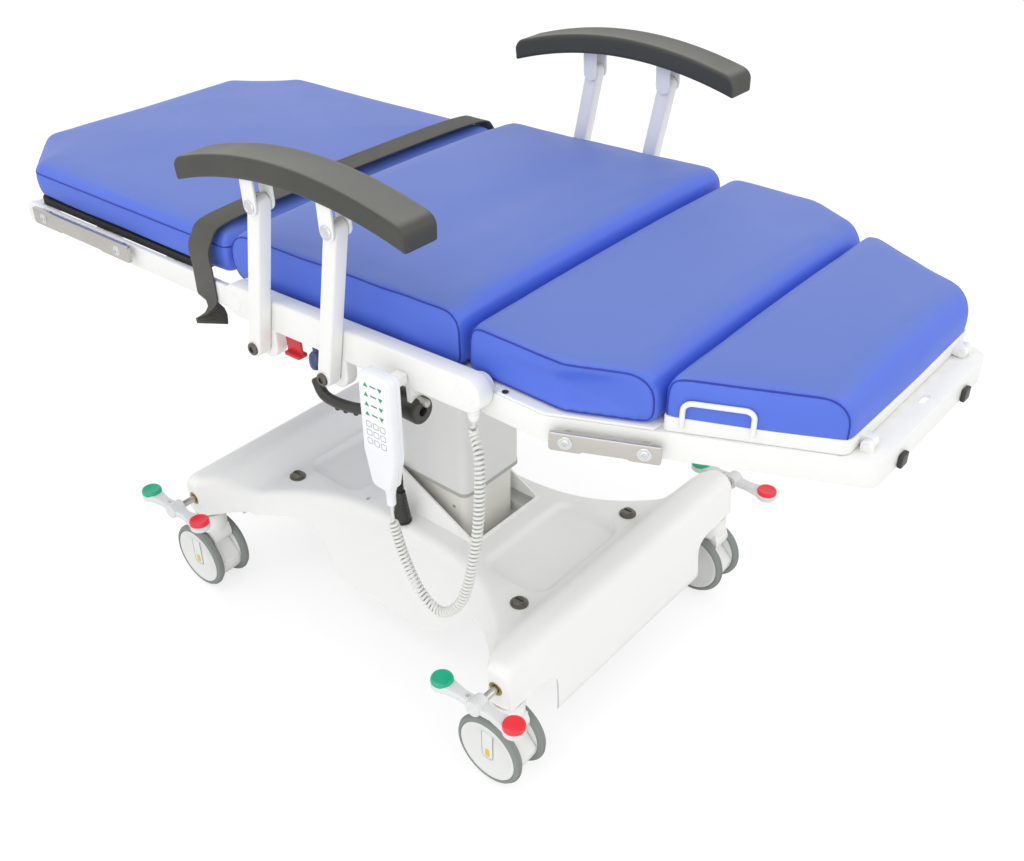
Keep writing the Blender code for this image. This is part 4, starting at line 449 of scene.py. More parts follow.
def baked(piece: Piece, angle: float = 36.0) -> Piece:
    """Put what the modifiers make into the piece's own mesh and clear them.

    Args:
        piece: The piece.
        angle: Angle in degrees above which an edge stays crisp.

    Returns:
        The same piece.
    """
    graph = bpy.context.evaluated_depsgraph_get()
    mesh = bpy.data.meshes.new_from_object(piece.evaluated_get(graph))
    old = piece.data
    piece.modifiers.clear()
    piece.data = mesh
    bpy.data.meshes.remove(old)
    mesh.name = piece.name
    return smooth(piece, angle)


def finer(piece: Piece) -> Piece:
    """Divide a soft piece once more, which smooths it."""
    step = piece.modifiers.new("finer", "SUBSURF")
    step.levels = step.render_levels = 1
    return baked(piece, 60.0)


def softened(piece: Piece, width: float) -> Piece:
    """Round the sharp edges of a piece.

    Args:
        piece: The piece.
        width: Width of the rounding.

    Returns:
        The same piece.
    """
    edge = piece.modifiers.new("edges", "BEVEL")
    edge.width = width
    edge.segments = 3
    edge.limit_method = "ANGLE"
    edge.angle_limit = math.radians(34.0)
    return baked(piece)


def carved(piece: Piece, *tools: Piece, join: bool = False) -> Piece:
    """Cut tools out of a piece, or join them to it.

    Args:
        piece: The piece.
        tools: Pieces that are used up.
        join: Whether they are joined.

    Returns:
        The same piece.
    """
    for tool in tools:
        step = piece.modifiers.new("shape", "BOOLEAN")
        step.operation = "UNION" if join else "DIFFERENCE"
        step.object = tool
    baked(piece)
    for tool in tools:
        bpy.data.objects.remove(tool, do_unlink=True)
    return piece


def merged(name: str, *pieces: Piece) -> Piece:
    """One piece from the meshes of several.

    Args:
        name: Name of the piece.
        pieces: Pieces that are used up.

    Returns:
        The linked piece.
    """
    shape = bmesh.new()
    for piece in pieces:
        shape.from_mesh(piece.data)
        bpy.data.objects.remove(piece, do_unlink=True)
    return to_object(name, shape)


def plate(name: str, outline: Sequence[Point], low: float, high: float, place: Matrix, edge: float = 0.0) -> Piece:
    """Outline thickened along the third axis of its place, with rounded edges.

    Args:
        name: Name of the piece.
        outline: Corner points in the plane.
        low: Start of the thickness.
        high: End of the thickness.
        place: Matrix from the plane to the chair.
        edge: Radius of the edges.

    Returns:
        The linked piece.
    """
    shape = bmesh.new()
    rows = [[shape.verts.new((point[0], point[1], level)) for point in outline] for level in (low, high)]
    shape.faces.new(rows[0])
    shape.faces.new(rows[1])
    count = len(outline)
    for index in range(count):
        after = (index + 1) % count
        shape.faces.new((rows[0][index], rows[0][after], rows[1][after], rows[1][index]))
    shape.transform(place)
    piece = to_object(name, shape)
    return softened(piece, edge) if edge else piece


def lathe(name: str, profile: Sequence[Point], place: Matrix, steps: int = 48) -> Piece:
    """Turned piece from (radius, height) points, about the third axis of its place.

    Args:
        name: Name of the piece.
        profile: Points from one end to the other; a radius of 0 closes the end.
        place: Matrix from the axis to the chair.
        steps: Number of faces round the axis.

    Returns:
        The linked piece.
    """
    shape = bmesh.new()
    rows = []
    for radius, height in profile:
        if radius < 1e-6:
            rows.append([shape.verts.new((0.0, 0.0, height))])
            continue
        angles = (2 * math.pi * step / steps for step in range(steps))
        rows.append([shape.verts.new((radius * math.cos(turn), radius * math.sin(turn), height)) for turn in angles])
    for row, following in zip(rows, rows[1:]):
        for step in range(steps):
            after = (step + 1) % steps
            corners = [row[step % len(row)], row[after % len(row)],
                       following[after % len(following)], following[step % len(following)]]
            face = list(dict.fromkeys(corners))
            if len(face) > 2:
                shape.faces.new(face)
    shape.transform(place)
    return to_object(name, shape, 30.0)


def skin(name: str, rings: Rings, place: Matrix = FLAT, angle: float = 36.0, fan: bool = False) -> Piece:
    """Closed skin through rings of equal count.

    Args:
        name: Name of the piece.
        rings: Rings of points from one end to the other.
        place: Matrix from the rings to the chair.
        angle: Angle in degrees above which an edge stays crisp.
        fan: Whether the ends are fans round a middle point, and not flat faces.

    Returns:
        The linked piece.
    """
    shape = bmesh.new()
    rows = [[shape.verts.new(point) for point in ring] for ring in rings]
    for row, following in zip(rows, rows[1:]):
        for index in range(len(row)):
            after = (index + 1) % len(row)
            shape.faces.new((row[index], row[after], following[after], following[index]))
    for row in (rows[0][::-1], rows[-1]):
        if not fan:
            shape.faces.new(row)
            continue
        middle = shape.verts.new(sum((vertex.co for vertex in row), Vector()) / len(row))
        for vertex, following in zip(row, row[1:] + row[:1]):
            shape.faces.new((vertex, following, middle))
    shape.transform(place)
    return to_object(name, shape, angle)


def pipe(name: str, route: Sequence[Point], radius: float, place: Matrix = FLAT, sides: int = 14,
         closed: bool = False) -> Piece:
    """Round bar along a route, with rounded caps or as a closed ring.

    Args:
        name: Name of the piece.
        route: Points of the middle line.
        radius: Radius of the bar.
        place: Matrix from the route to the chair.
        sides: Number of faces round the bar.
        closed: Whether the route ends where it starts.

    Returns:
        The linked piece.
    """
    line = [Vector(point) for point in route]
    count = len(line)
    across = Vector((0.0, 0.0, 1.0))
    shape = bmesh.new()
    rows = []
    for index, point in enumerate(line):
        before = line[index - 1] if closed or index else point
        after = line[(index + 1) % count] if closed or index < count - 1 else point
        along = (after - before).normalized()
        if abs(across.dot(along)) > 0.98:
            across = Vector((1.0, 0.0, 0.0)) if abs(along.x) < 0.8 else Vector((0.0, 1.0, 0.0))
        across = (across - along * across.dot(along)).normalized()
        other = along.cross(across)
        turns = [2 * math.pi * step / sides for step in range(sides)]
        rows.append([shape.verts.new(point + radius * (math.cos(turn) * across + math.sin(turn) * other))
                     for turn in turns])
    pairs = list(zip(rows, rows[1:])) + ([(rows[-1], rows[0])] if closed else [])
    for row, following in pairs:
        for step in range(sides):
            after = (step + 1) % sides
            shape.faces.new((row[step], row[after], following[after], following[step]))
    if not closed:
        shape.faces.new(reversed(rows[0]))
        shape.faces.new(rows[-1])
    shape.transform(place)
    return to_object(name, shape)


def rounded(corners: Sequence[Point], radius: float | Sequence[float], steps: int = 8) -> Outline:
    """Outline whose corners are arcs.

    Args:
        corners: Corner points.
        radius: One radius, or one for each corner.
        steps: Number of steps of an arc.

    Returns:
        The points of the outline.
    """
    count = len(corners)
    radii = radius if isinstance(radius, (list, tuple)) else [radius] * count
    outline = []
    for index, corner in enumerate(corners):
        here = Vector(corner)
        before = (Vector(corners[index - 1]) - here).normalized()
        after = (Vector(corners[(index + 1) % count]) - here).normalized()
        half = before.angle(after) / 2
        reach = radii[index] / math.tan(half)
        centre = here + (before + after).normalized() * radii[index] / math.sin(half)
        start = (here + before * reach - centre).normalized()
        end = (here + after * reach - centre).normalized()
        outline += [centre + start.slerp(end, step / steps) * radii[index] for step in range(steps + 1)]
    return outline


def box(left: float, right: float, low: float, high: float) -> list[Point]:
    """Corners of a rectangle, anticlockwise."""
    return [(left, low), (right, low), (right, high), (left, high)]


def rod(radius: float, low: float, high: float) -> list[Point]:
    """Profile of a plain turned rod."""
    return box(0.0, radius, low, high)


def capsule(start: Point, end: Point, radius: float, steps: int = 14) -> Outline:
    """Outline of a bar with full round ends.

    Args:
        start: Centre of the first end.
        end: Centre of the last end.
        radius: Radius of the ends.
        steps: Number of steps of an end.

    Returns:
        The points of the outline.
    """
    first, last = Vector(start), Vector(end)
    along = math.atan2(last.y - first.y, last.x - first.x)
    outline = []
    for centre, turn in ((last, -math.pi / 2), (first, math.pi / 2)):
        for step in range(steps + 1):
            angle = along + turn + math.pi * step / steps
            outline.append(centre + radius * Vector((math.cos(angle), math.sin(angle))))
    return outline


def mirrored(half: Sequence[Point]) -> list[Point]:
    """Close an outline given along one side, from -X to +X, into both sides."""
    return [(x, -width) for x, width in half] + [(x, width) for x, width in reversed(half)]


def inset(outline: Outline, distance: float) -> Outline:
    """Outline moved inward along its corner normals.

    Args:
        outline: Points that run anticlockwise.
        distance: How far they move.

    Returns:
        The moved points.
    """
    moved = []
    count = len(outline)
    for index, point in enumerate(outline):
        before = (point - outline[index - 1]).normalized()
        after = (outline[(index + 1) % count] - point).normalized()
        inward = (Vector((-before.y, before.x)) + Vector((-after.y, after.x))).normalized()
        spread = max(0.5, inward.dot(Vector((-after.y, after.x))))
        moved.append(point + inward * distance / spread)
    return moved


def stack(outline: Outline, levels: Sequence[Point]) -> Rings:
    """Rings of an outline, one for each distance that it is drawn in by and the height there."""
    return [[(point.x, point.y, height) for point in inset(outline, draw)] for draw, height in levels]


def even(points: Sequence[Point], spacing: float, closed: bool = False) -> list[Vector]:
    """Points at even steps along a line or a closed outline.

    Args:
        points: Points of the line.
        spacing: Distance between the new points.
        closed: Whether the line goes back to its start.

    Returns:
        The new points.
    """
    line = [Vector(point) for point in points] + ([Vector(points[0])] if closed else [])
    lengths = [0.0]
    for start, end in zip(line, line[1:]):
        lengths.append(lengths[-1] + (end - start).length)
    count = max(3, round(lengths[-1] / spacing))
    made, cursor = [], 0
    for index in range(count if closed else count + 1):
        target = lengths[-1] * index / count
        while cursor < len(lengths) - 2 and lengths[cursor + 1] < target:
            cursor += 1
        span = max(1e-9, lengths[cursor + 1] - lengths[cursor])
        made.append(line[cursor].lerp(line[cursor + 1], (target - lengths[cursor]) / span))
    return made


CURVE_STEPS = 24


def flowing(points: Sequence[Point], spacing: float) -> list[Vector]:
    """Even points on a smooth curve through the given ones.

    Args:
        points: Points that the curve goes through.
        spacing: Distance between the new points.

    Returns:
        The new points.
    """
    route = [Vector(point) for point in points]
    ends = [2 * route[0] - route[1]] + route + [2 * route[-1] - route[-2]]
    dense = []
    for before, start, end, after in zip(ends, ends[1:], ends[2:], ends[3:]):
        for share in (step / CURVE_STEPS for step in range(CURVE_STEPS)):
            dense.append(0.5 * (2 * start + (end - before) * share
                                + (2 * before - 5 * start + 4 * end - after) * share ** 2
                                + (3 * start - before - 3 * end + after) * share ** 3))
    return even(dense + [route[-1]], spacing)


def put(piece: Piece, finish: Finish, body: str, *nodes: str) -> Piece:
    """Dress a piece, let it ride on a body and hide the CAD nodes that it stands for.

    Args:
        piece: The piece.
        finish: Its finish.
        body: Body that carries it.
        nodes: CAD nodes that it replaces.

    Returns:
        The same piece.
    """
    piece.data.materials.clear()
    piece.data.materials.append(finish.material())
    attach(piece, body)
    if nodes:
        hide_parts(*nodes)
    LOG.info("%s rides on %s", piece.name, body)
    return piece


def dressed(node: str, finish: Finish) -> None:
    """Give a CAD node that stays a better material in its own slots."""
    for slot in bpy.data.objects[node].material_slots:
        slot.material = finish.material()


def screw(name: str, place: Matrix, radius: float, height: float, finish: Finish, body: str, slots: int = 2) -> None:
    """Round screw head with a recess: two slots make a cross, three a hexagon.

    Args:
        name: Name of the piece.
        place: Matrix whose third axis points out of the surface.
        radius: Radius of the head.
        height: Height of the head.
        finish: Its finish.
        body: Body that carries it.
        slots: Number of bars that make the recess.
    """
    head = lathe(name, [(0.0, -height * 0.3), (radius, -height * 0.3), (radius, height * 0.55),
                        (radius * 0.86, height * 0.92), (radius * 0.6, height), (0.0, height)], place, 28)
    reach, width = radius * (0.58 if slots == 2 else 0.46), radius * (0.16 if slots == 2 else 0.27)
    tools = []
    for index in range(slots):
        bar = box(-reach, reach, -width, width)
        tools.append(plate("recess", bar, height * 0.3, height * 1.5,
                           place @ Matrix.Rotation(math.pi * index / slots, 4, "Z")))
    put(carved(head, *tools), finish, body)


def facing(point: Point, out: Point) -> Matrix:
    """Place at a point whose third axis points outward."""
    return Matrix.Translation(point) @ Vector(out).to_track_quat("Z", "Y").to_matrix().to_4x4()


@dataclass
class Studio:
    """Pale floor, soft light and the camera at the photograph's view."""

    camera_place: tuple[float, float, float] = (1.1295, -1.1922, 1.4541)
    azimuth: float = 40.13
    elevation: float = 34.25
    roll: float = -0.18
    lens: float = 40.28
    sensor: float = 36.0
    floor_half: float = 30.0
    floor_shade: float = 0.34
    floor_bounce: float = 0.88
    sky: float = 0.91
    glow: float = 0.72
    aim_height: float = 0.6
    lamps: tuple[tuple[str, Point, float, float], ...] = (
        ("key", (-0.6, -1.4, 3.4), 2.4, 19.0), ("fill", (2.6, 1.0, 2.4), 2.0, 14.0),
        ("front", (1.3, -2.5, 1.2), 2.4, 13.0))

    def build_camera(self) -> None:
        """Camera from its place and angles."""
        turn, lift, roll = (math.radians(value) for value in (self.azimuth, self.elevation, self.roll))
        back = Vector((math.sin(turn) * math.cos(lift), -math.cos(turn) * math.cos(lift), math.sin(lift)))
        right = Vector((0.0, 0.0, 1.0)).cross(back).normalized()
        up = back.cross(right)
        right, up = (math.cos(roll) * right + math.sin(roll) * up, math.cos(roll) * up - math.sin(roll) * right)
        data = bpy.data.cameras.new("camera")
        data.lens = self.lens
        data.sensor_width = self.sensor
        data.sensor_fit = "HORIZONTAL"
        data.clip_end = 200.0
        camera = bpy.data.objects.new("camera", data)
        axes = Matrix((right, up, back)).transposed().to_4x4()
        camera.matrix_world = Matrix.Translation(self.camera_place) @ axes
        bpy.context.scene.collection.objects.link(camera)
        bpy.context.scene.camera = camera

    def build_floor(self) -> None:
        """Pale floor that shows white to the camera and keeps the chair's soft shadow."""
        half = self.floor_half
        shape = bmesh.new()
        shape.faces.new([shape.verts.new((x, y, 0.0)) for x, y in box(-half, half, -half, half)])
        floor = to_object("floor", shape)
        made = bpy.data.materials.new("floor_white")
        made.use_nodes = True
        made.node_tree.nodes.clear()
        graph = Graph(made.node_tree)
        matt, pale = (graph.add("BsdfDiffuse", {"Color": (level, level, level, 1.0)})
                      for level in (self.floor_bounce, self.floor_shade))
        bright = graph.add("Emission", {"Strength": self.glow})
        both = graph.add("AddShader", {0: pale.outputs[0], 1: bright.outputs[0]})
        seen = graph.add("LightPath").outputs["Is Camera Ray"]
        shown = graph.add("MixShader", {0: seen, 1: matt.outputs[0], 2: both.outputs[0]})
        graph.add("OutputMaterial", {"Surface": shown.outputs[0]})
        floor.data.materials.append(made)

    def build_light(self) -> None:
        """Even sky, white to the camera, with a broad key and weak fills."""
        world = bpy.data.worlds.new("studio")
        bpy.context.scene.world = world
        world.use_nodes = True
        graph = Graph(world.node_tree)
        path = graph.add("LightPath").outputs
        bounced = graph.add("Math", {0: path["Is Glossy Ray"], 1: path["Is Transmission Ray"]}, operation="MAXIMUM")
        seen = graph.add("Math", {0: path["Is Camera Ray"], 1: bounced.outputs[0]}, operation="MAXIMUM")
        span = graph.add("MapRange", {"Value": seen.outputs[0], "To Min": self.sky, "To Max": 1.0})
        graph.fill(world.node_tree.nodes["Background"],
                   {"Color": (1.0, 1.0, 1.0, 1.0), "Strength": span.outputs["Result"]})
        for name, place, size, power in self.lamps:
            data = bpy.data.lights.new(name, "AREA")
            data.shape = "DISK"
            data.size = size
            data.energy = power
            lamp = bpy.data.objects.new(name, data)
            lamp.matrix_world = facing(place, Vector(place) - Vector((0.0, 0.0, self.aim_height)))
            bpy.context.scene.collection.objects.link(lamp)

    def build(self) -> None:
        """Set the stage."""
        bpy.context.scene.view_settings.view_transform = "Standard"
        self.build_camera()
        self.build_floor()
        self.build_light()


@dataclass
class HandsetCord:
    """Curly cord that hangs from the handset and goes up into the gland under the beam, as one helix."""

    route: tuple[Point, ...] = (
        (0.2433, -0.386, 0.5297), (0.2433, -0.386, 0.512), (0.2473, -0.386, 0.488), (0.2613, -0.386, 0.446),
        (0.2879, -0.386, 0.402), (0.3245, -0.385, 0.386), (0.3593, -0.382, 0.424), (0.3733, -0.374, 0.49),
        (0.3733, -0.36, 0.56), (0.3613, -0.343, 0.63), (0.3433, -0.331, 0.655), (0.3423, -0.331, 0.665),
        (0.3423, -0.331, 0.6757))
    wire: float = 0.0021
    coil: float = 0.0055
    curls: int = 78
    per_curl: int = 16
    lead: float = 0.024
    tail: float = 0.006
    spacing: float = 0.0005

    def points(self) -> list[Vector]:
        """Middle line of the wire: a lead, the helix along the route and a shorter lead.

        Returns:
            The points of the line.
        """
        line = flowing(self.route, self.spacing)
        steps = len(line) - 1
        length = steps * self.spacing
        across = Vector((0.0, 1.0, 0.0))
        turned = []
        for index, point in enumerate(line):
            along = (line[min(index + 1, steps)] - line[max(index - 1, 0)]).normalized()
            across = (across - along * across.dot(along)).normalized()
            turned.append((point, across.copy(), along.cross(across)))

        def at(distance: float) -> tuple[Vector, ...]:
            """Point and cross axes at a distance along the route."""
            spot = min(steps - 1e-6, max(0.0, distance / length * steps))
            first = int(spot)
            return tuple(low.lerp(high, spot - first) for low, high in zip(turned[first], turned[first + 1]))

        total = self.curls * self.per_curl
        wire = [at(self.lead * share)[0] for share in (0.0, 0.25, 0.5, 0.75)]
        for index in range(total + 1):
            share = index / total
            point, side, up = at(self.lead + (length - self.lead - self.tail) * share)
            swell = self.coil * eased(min(share, 1.0 - share) * self.curls / 1.5)
            angle = 2 * math.pi * self.curls * share
            wire.append(point + swell * (math.cos(angle) * side + math.sin(angle) * up))
        wire += [at(length - self.tail * share)[0] for share in (0.75, 0.5, 0.25)] + [line[-1]]
        return wire

    def build(self) -> None:
        """Curve of one open spline for the hanging cord."""
        wire = self.points()
        data = bpy.data.curves.new("curly_cord", "CURVE")
        data.dimensions = "3D"
        data.bevel_depth = self.wire
        data.bevel_resolution = 3
        data.use_fill_caps = True
        spline = data.splines.new("POLY")
        spline.points.add(len(wire) - 1)
        for point, place in zip(spline.points, wire):
            point.co = (*place, 1.0)
        spline.use_smooth = True
        cord = bpy.data.objects.new("curly_cord", data)
        bpy.context.scene.collection.objects.link(cord)
        put(cord, CORD, "seat", "handset_cord")
        length = sum((after - before).length for before, after in zip(wire, wire[1:]))
        tuple(wire[-1])
        LOG.info("curly cord of %.3f m of wire", length)


@dataclass
class Upholstery:
    """How the sewn cushions are stuffed: cloth pressure on a taut cover, with soft dents."""

    voxel: float = 0.007
    pressure: float = 4.0
    frames: int = 20
    dent: float = 0.0007
    dent_scale: float = 6.5
    rounds: int = 8
    welt: float = 0.0012
    welt_step: float = 0.006

    def swollen(self, piece: Piece, cap: float, held: Callable[[Vector], bool]) -> Piece:
        """Swell a cushion by cloth pressure, with its resting faces held.

        Args:
            piece: Cushion that starts slightly small.
            cap: Largest movement of a point.
            held: Whether a point is held where it is.

        Returns:
            The same piece with its final mesh.
        """
        remesh = piece.modifiers.new("even", "REMESH")
        remesh.mode = "VOXEL"
        remesh.voxel_size = self.voxel
        baked(piece)
        start = [vertex.co.copy() for vertex in piece.data.vertices]
        group = piece.vertex_groups.new(name="held")
        group.add([index for index, place in enumerate(start) if held(place)], 1.0, "REPLACE")
        cloth = piece.modifiers.new("cover", "CLOTH")
        settings = cloth.settings
        for key, value in (("quality", 4), ("mass", 0.4), ("tension_stiffness", 60.0),
                           ("compression_stiffness", 60.0), ("shear_stiffness", 30.0), ("bending_stiffness", 6.0),
                           ("use_pressure", True), ("uniform_pressure_force", self.pressure),
                           ("vertex_group_mass", "held")):
            setattr(settings, key, value)
        settings.effector_weights.gravity = 0.0
        cloth.collision_settings.use_collision = False
        cloth.point_cache.frame_start = 1
        cloth.point_cache.frame_end = self.frames
        scene = bpy.context.scene
        for step in range(1, self.frames + 1):
            scene.frame_set(step)
        graph = bpy.context.evaluated_depsgraph_get()
        swelled = [vertex.co.copy() for vertex in piece.evaluated_get(graph).data.vertices]
        piece.modifiers.clear()
        piece.vertex_groups.clear()
        scene.frame_set(1)
        moves = [after - before for before, after in zip(start, swelled)]
        beside = [[] for _ in moves]
        for first, last in (edge.vertices for edge in piece.data.edges):
            beside[first].append(last)
            beside[last].append(first)
        for _ in range(self.rounds):
            moves = [sum((moves[other] for other in near), move) / (len(near) + 1)
                     for move, near in zip(moves, beside)]
        for vertex, before, move in zip(piece.data.vertices, start, moves):
            vertex.co = before + move * min(1.0, cap / max(move.length, 1e-9))
        for vertex in piece.data.vertices:
            if not held(vertex.co):
                vertex.co.z += self.dent * noise.noise(vertex.co * self.dent_scale)
        return finer(piece)

    def seam(self, name: str, cushion: Piece, route: Sequence[Vector], body: str) -> Piece:
        """Sewn welt all round a cushion, in its surface.

        Args:
            name: Name of the piece.
            cushion: Cushion that it is sewn on.
            route: Closed line near the surface, in the chair's frame.
            body: Body that carries it.

        Returns:
            The welt.
        """
        tree = BVHTree.FromObject(cushion, bpy.context.evaluated_depsgraph_get())
        line = []
        for point in even(route, self.welt_step, True):
            place, normal, _, _ = tree.find_nearest(point)
            line.append(place + normal * self.welt * 0.1)
        line = [(line[index - 1] + line[index] + line[(index + 1) % len(line)]) / 3 for index in range(len(line))]
        return put(pipe(name, line, self.welt, sides=8, closed=True), THREAD, body)


CUSHION_SIDES = ((0.011, 0.0), (0.005, 0.05), (0.002, 0.16), (0.0, 0.34), (0.0, 0.52), (0.0015, 0.68), (0.006, 0.81),
                 (0.013, 0.905), (0.023, 0.965), (0.036, 0.992))
CUSHION_TOPS = (0.93, 0.84, 0.72, 0.58, 0.44, 0.3, 0.16, 0.05)


def boxed_cushion(name: str, outline: Outline, bottom: float, thickness: float, crown: float, place: Matrix) -> Piece:
    """Boxed cushion: drawn-in foot, upright side, rolled top edge and a crown over the middle.

    Args:
        name: Name of the piece.
        outline: Widest outline, anticlockwise.
        bottom: Height of its foot.
        thickness: Height of its sides.
        crown: Rise of the top over the sides.
        place: Matrix from the section to the chair.

    Returns:
        The linked cushion.
    """
    edge = even(outline, 0.011, True)
    rings = stack(edge, [(draw, bottom + level * thickness) for draw, level in CUSHION_SIDES])
    rim = rings[-1]
    middle = sum((Vector(point) for point in rim), Vector()) / len(rim)
    for share in CUSHION_TOPS:
        height = bottom + thickness * CUSHION_SIDES[-1][1] + crown * (1.0 - share ** 2.2)
        rings.append([(middle.x + share * (x - middle.x), middle.y + share * (y - middle.y), height)
                      for x, y, _ in rim])
    return skin(name, rings, place, 60.0, True)


ROLL_EDGE = ((1.0, 0.009), (0.998, 0.0045), (0.99, 0.0014), (0.976, 0.0003))
ROLL_FLAT = (0.95, 0.88, 0.77, 0.63, 0.48, 0.32, 0.16)
DIP_PLACE, DIP_REACH = 0.62, 0.1


def rolled_cushion(name: str, side: Outline, half_at: Callable[[float], float], crown: float, place: Matrix,
                   dip: float = 0.0) -> Piece:
    """Cushion with one panel that rolls over both ends, between two flat side panels.

    Args:
        name: Name of the piece.
        side: Outline of a side panel, along the section and up.
        half_at: Half width at a place along the section.
        crown: Rise of the top over its sides.
        place: Matrix from the section to the chair.
        dip: Depth of the hollow that sitting has left.

    Returns:
        The linked cushion.
    """
    head, foot = min(point.x for point in side), max(point.x for point in side)
    low, top = min(point.y for point in side), max(point.y for point in side)
    middle = (low + top) / 2
    across = [*ROLL_EDGE, *((share, 0.0) for share in ROLL_FLAT)]
    layout = [(-share, draw) for share, draw in across] + [(0.0, 0.0)] + across[::-1]
    rings = []
    for share, draw in layout:
        ring = []
        for point in inset(side, draw) if draw else side:
            along = (point.x - head) / (foot - head)
            hollow = dip * math.exp(-((along - DIP_PLACE) / DIP_REACH) ** 2) * (1.0 - share ** 2)
            rise = max(0.0, (point.y - middle) / (top - middle))
            swell = crown * (1.0 - abs(share) ** 2.4) - hollow
            ring.append((point.x, share * half_at(point.x), point.y + rise * swell))
        rings.append(ring)
    return skin(name, rings, place, 60.0, True)


@dataclass
class Cushions:
    """The four sewn cushions and their seams."""

    half: float = 0.305
    back_s: Pair = (-0.7, -0.0585)
    back_low: float = 0.005
    back_height: float = 0.064
    head_cut: Pair = (0.125, 0.096)
    seat_s: Pair = (-0.0525, 0.3975)
    leg_s: Pair = (-0.0322, 0.215)
    foot_s: Pair = (0.2195, 0.408)
    stuffing: Upholstery = field(default_factory=Upholstery)

    def resting(self, place: Matrix, level: float) -> Callable[[Vector], bool]:
        """Test for points of a section below a level, which rest on its deck."""
        back = place.inverted()
        return lambda point: (back @ point).z < level

    def ring(self, outline: Outline, draw: float, height: float, place: Matrix) -> list[Vector]:
        """Closed line round a cushion at one height, in the chair's frame."""
        return [place @ Vector((point.x, point.y, height)) for point in inset(even(outline, 0.008, True), draw)]

    def build_back(self) -> None:
        """Back cushion with cut head corners."""
        head, foot = self.back_s
        cut_x, cut_y = self.head_cut
        edge = mirrored([(head, self.half - cut_y), (head + cut_x, self.half), (foot, self.half)])
        outline = rounded(edge, [0.018, 0.022, 0.014, 0.014, 0.022, 0.018])
        pad = boxed_cushion("back_pad", outline, self.back_low, self.back_height, 0.007, BACK)
        self.stuffing.swollen(pad, 0.003, self.resting(BACK, self.back_low + 0.004))
        put(pad, VINYL, "back", "back_cushion")
        route = self.ring(outline, 0.001, self.back_low + 0.043, BACK)
        seam = self.stuffing.seam("back_pad_seam", pad, route, "back")
        for piece in (pad, seam):
            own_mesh(piece)

    def build_rolled(self, name: str, body: str, span: Point, low: float, height: float, radii: Sequence[float],
                     half_at: Callable[[float], float], crown: float, place: Matrix, dip: float = 0.0) -> None:
        """Cushion rolled over both ends, with a welt round each side panel.

        Args:
            name: Name of the section, as its CAD cushion has it.
            body: Body that carries it.
            span: Head and foot end along the section.
            low: Height of its foot.
            height: Height of its sides.
            radii: Radii at head and foot below, then at foot and head above.
            half_at: Half width at a place along the section.
            crown: Rise of the top over its sides.
            place: Matrix from the section to the chair.
            dip: Depth of the hollow that sitting has left.
        """
        head, foot = span
        side = even(rounded(box(head, foot, low, low + height), radii, 10), 0.007, True)
        pad = rolled_cushion(f"{name}_pad", side, half_at, crown, place, dip)
        self.stuffing.swollen(pad, 0.0022, self.resting(place, low + 0.005))
        put(pad, VINYL, body, f"{name}_cushion")
        for edge in Side:
            route = [place @ Vector((point.x, edge.value * (half_at(point.x) - 0.002), point.y))
                     for point in inset(side, 0.003)]
            self.stuffing.seam(f"{name}_pad_welt_{edge.label}", pad, route, body)

    def build_seat(self) -> None:
        """Seat cushion with a bullnose at the back hinge."""
        self.build_rolled("seat", "seat", self.seat_s, 0.0043, 0.0775, (0.03, 0.012, 0.026, 0.04),
                          lambda place: self.half - 0.001, 0.011, SEAT, 0.004)

    def build_leg(self) -> None:
        """Leg cushion, tapered to the foot end and rolled over it."""
        self.build_rolled("leg", "leg", self.leg_s, 0.0038, 0.0675, (0.012, 0.012, 0.034, 0.02),
                          lambda place: min(self.half, leg_half(place) - 0.002) - 0.001, 0.008, LEG)

    def build_foot(self) -> None:
        """Foot cushion in the lipped tray, rolled over its foot end."""
        hinge = FLAP.translation.x - LEG.translation.x
        self.build_rolled("foot", "foot", [place - hinge for place in self.foot_s], -0.002, 0.0675,
                          (0.012, 0.012, 0.034, 0.018), lambda place: leg_half(place + hinge) - 0.0058, 0.008, FLAP)

    def build(self) -> None:
        """Make every cushion."""
        self.build_back()
        self.build_seat()
        self.build_leg()
        self.build_foot()


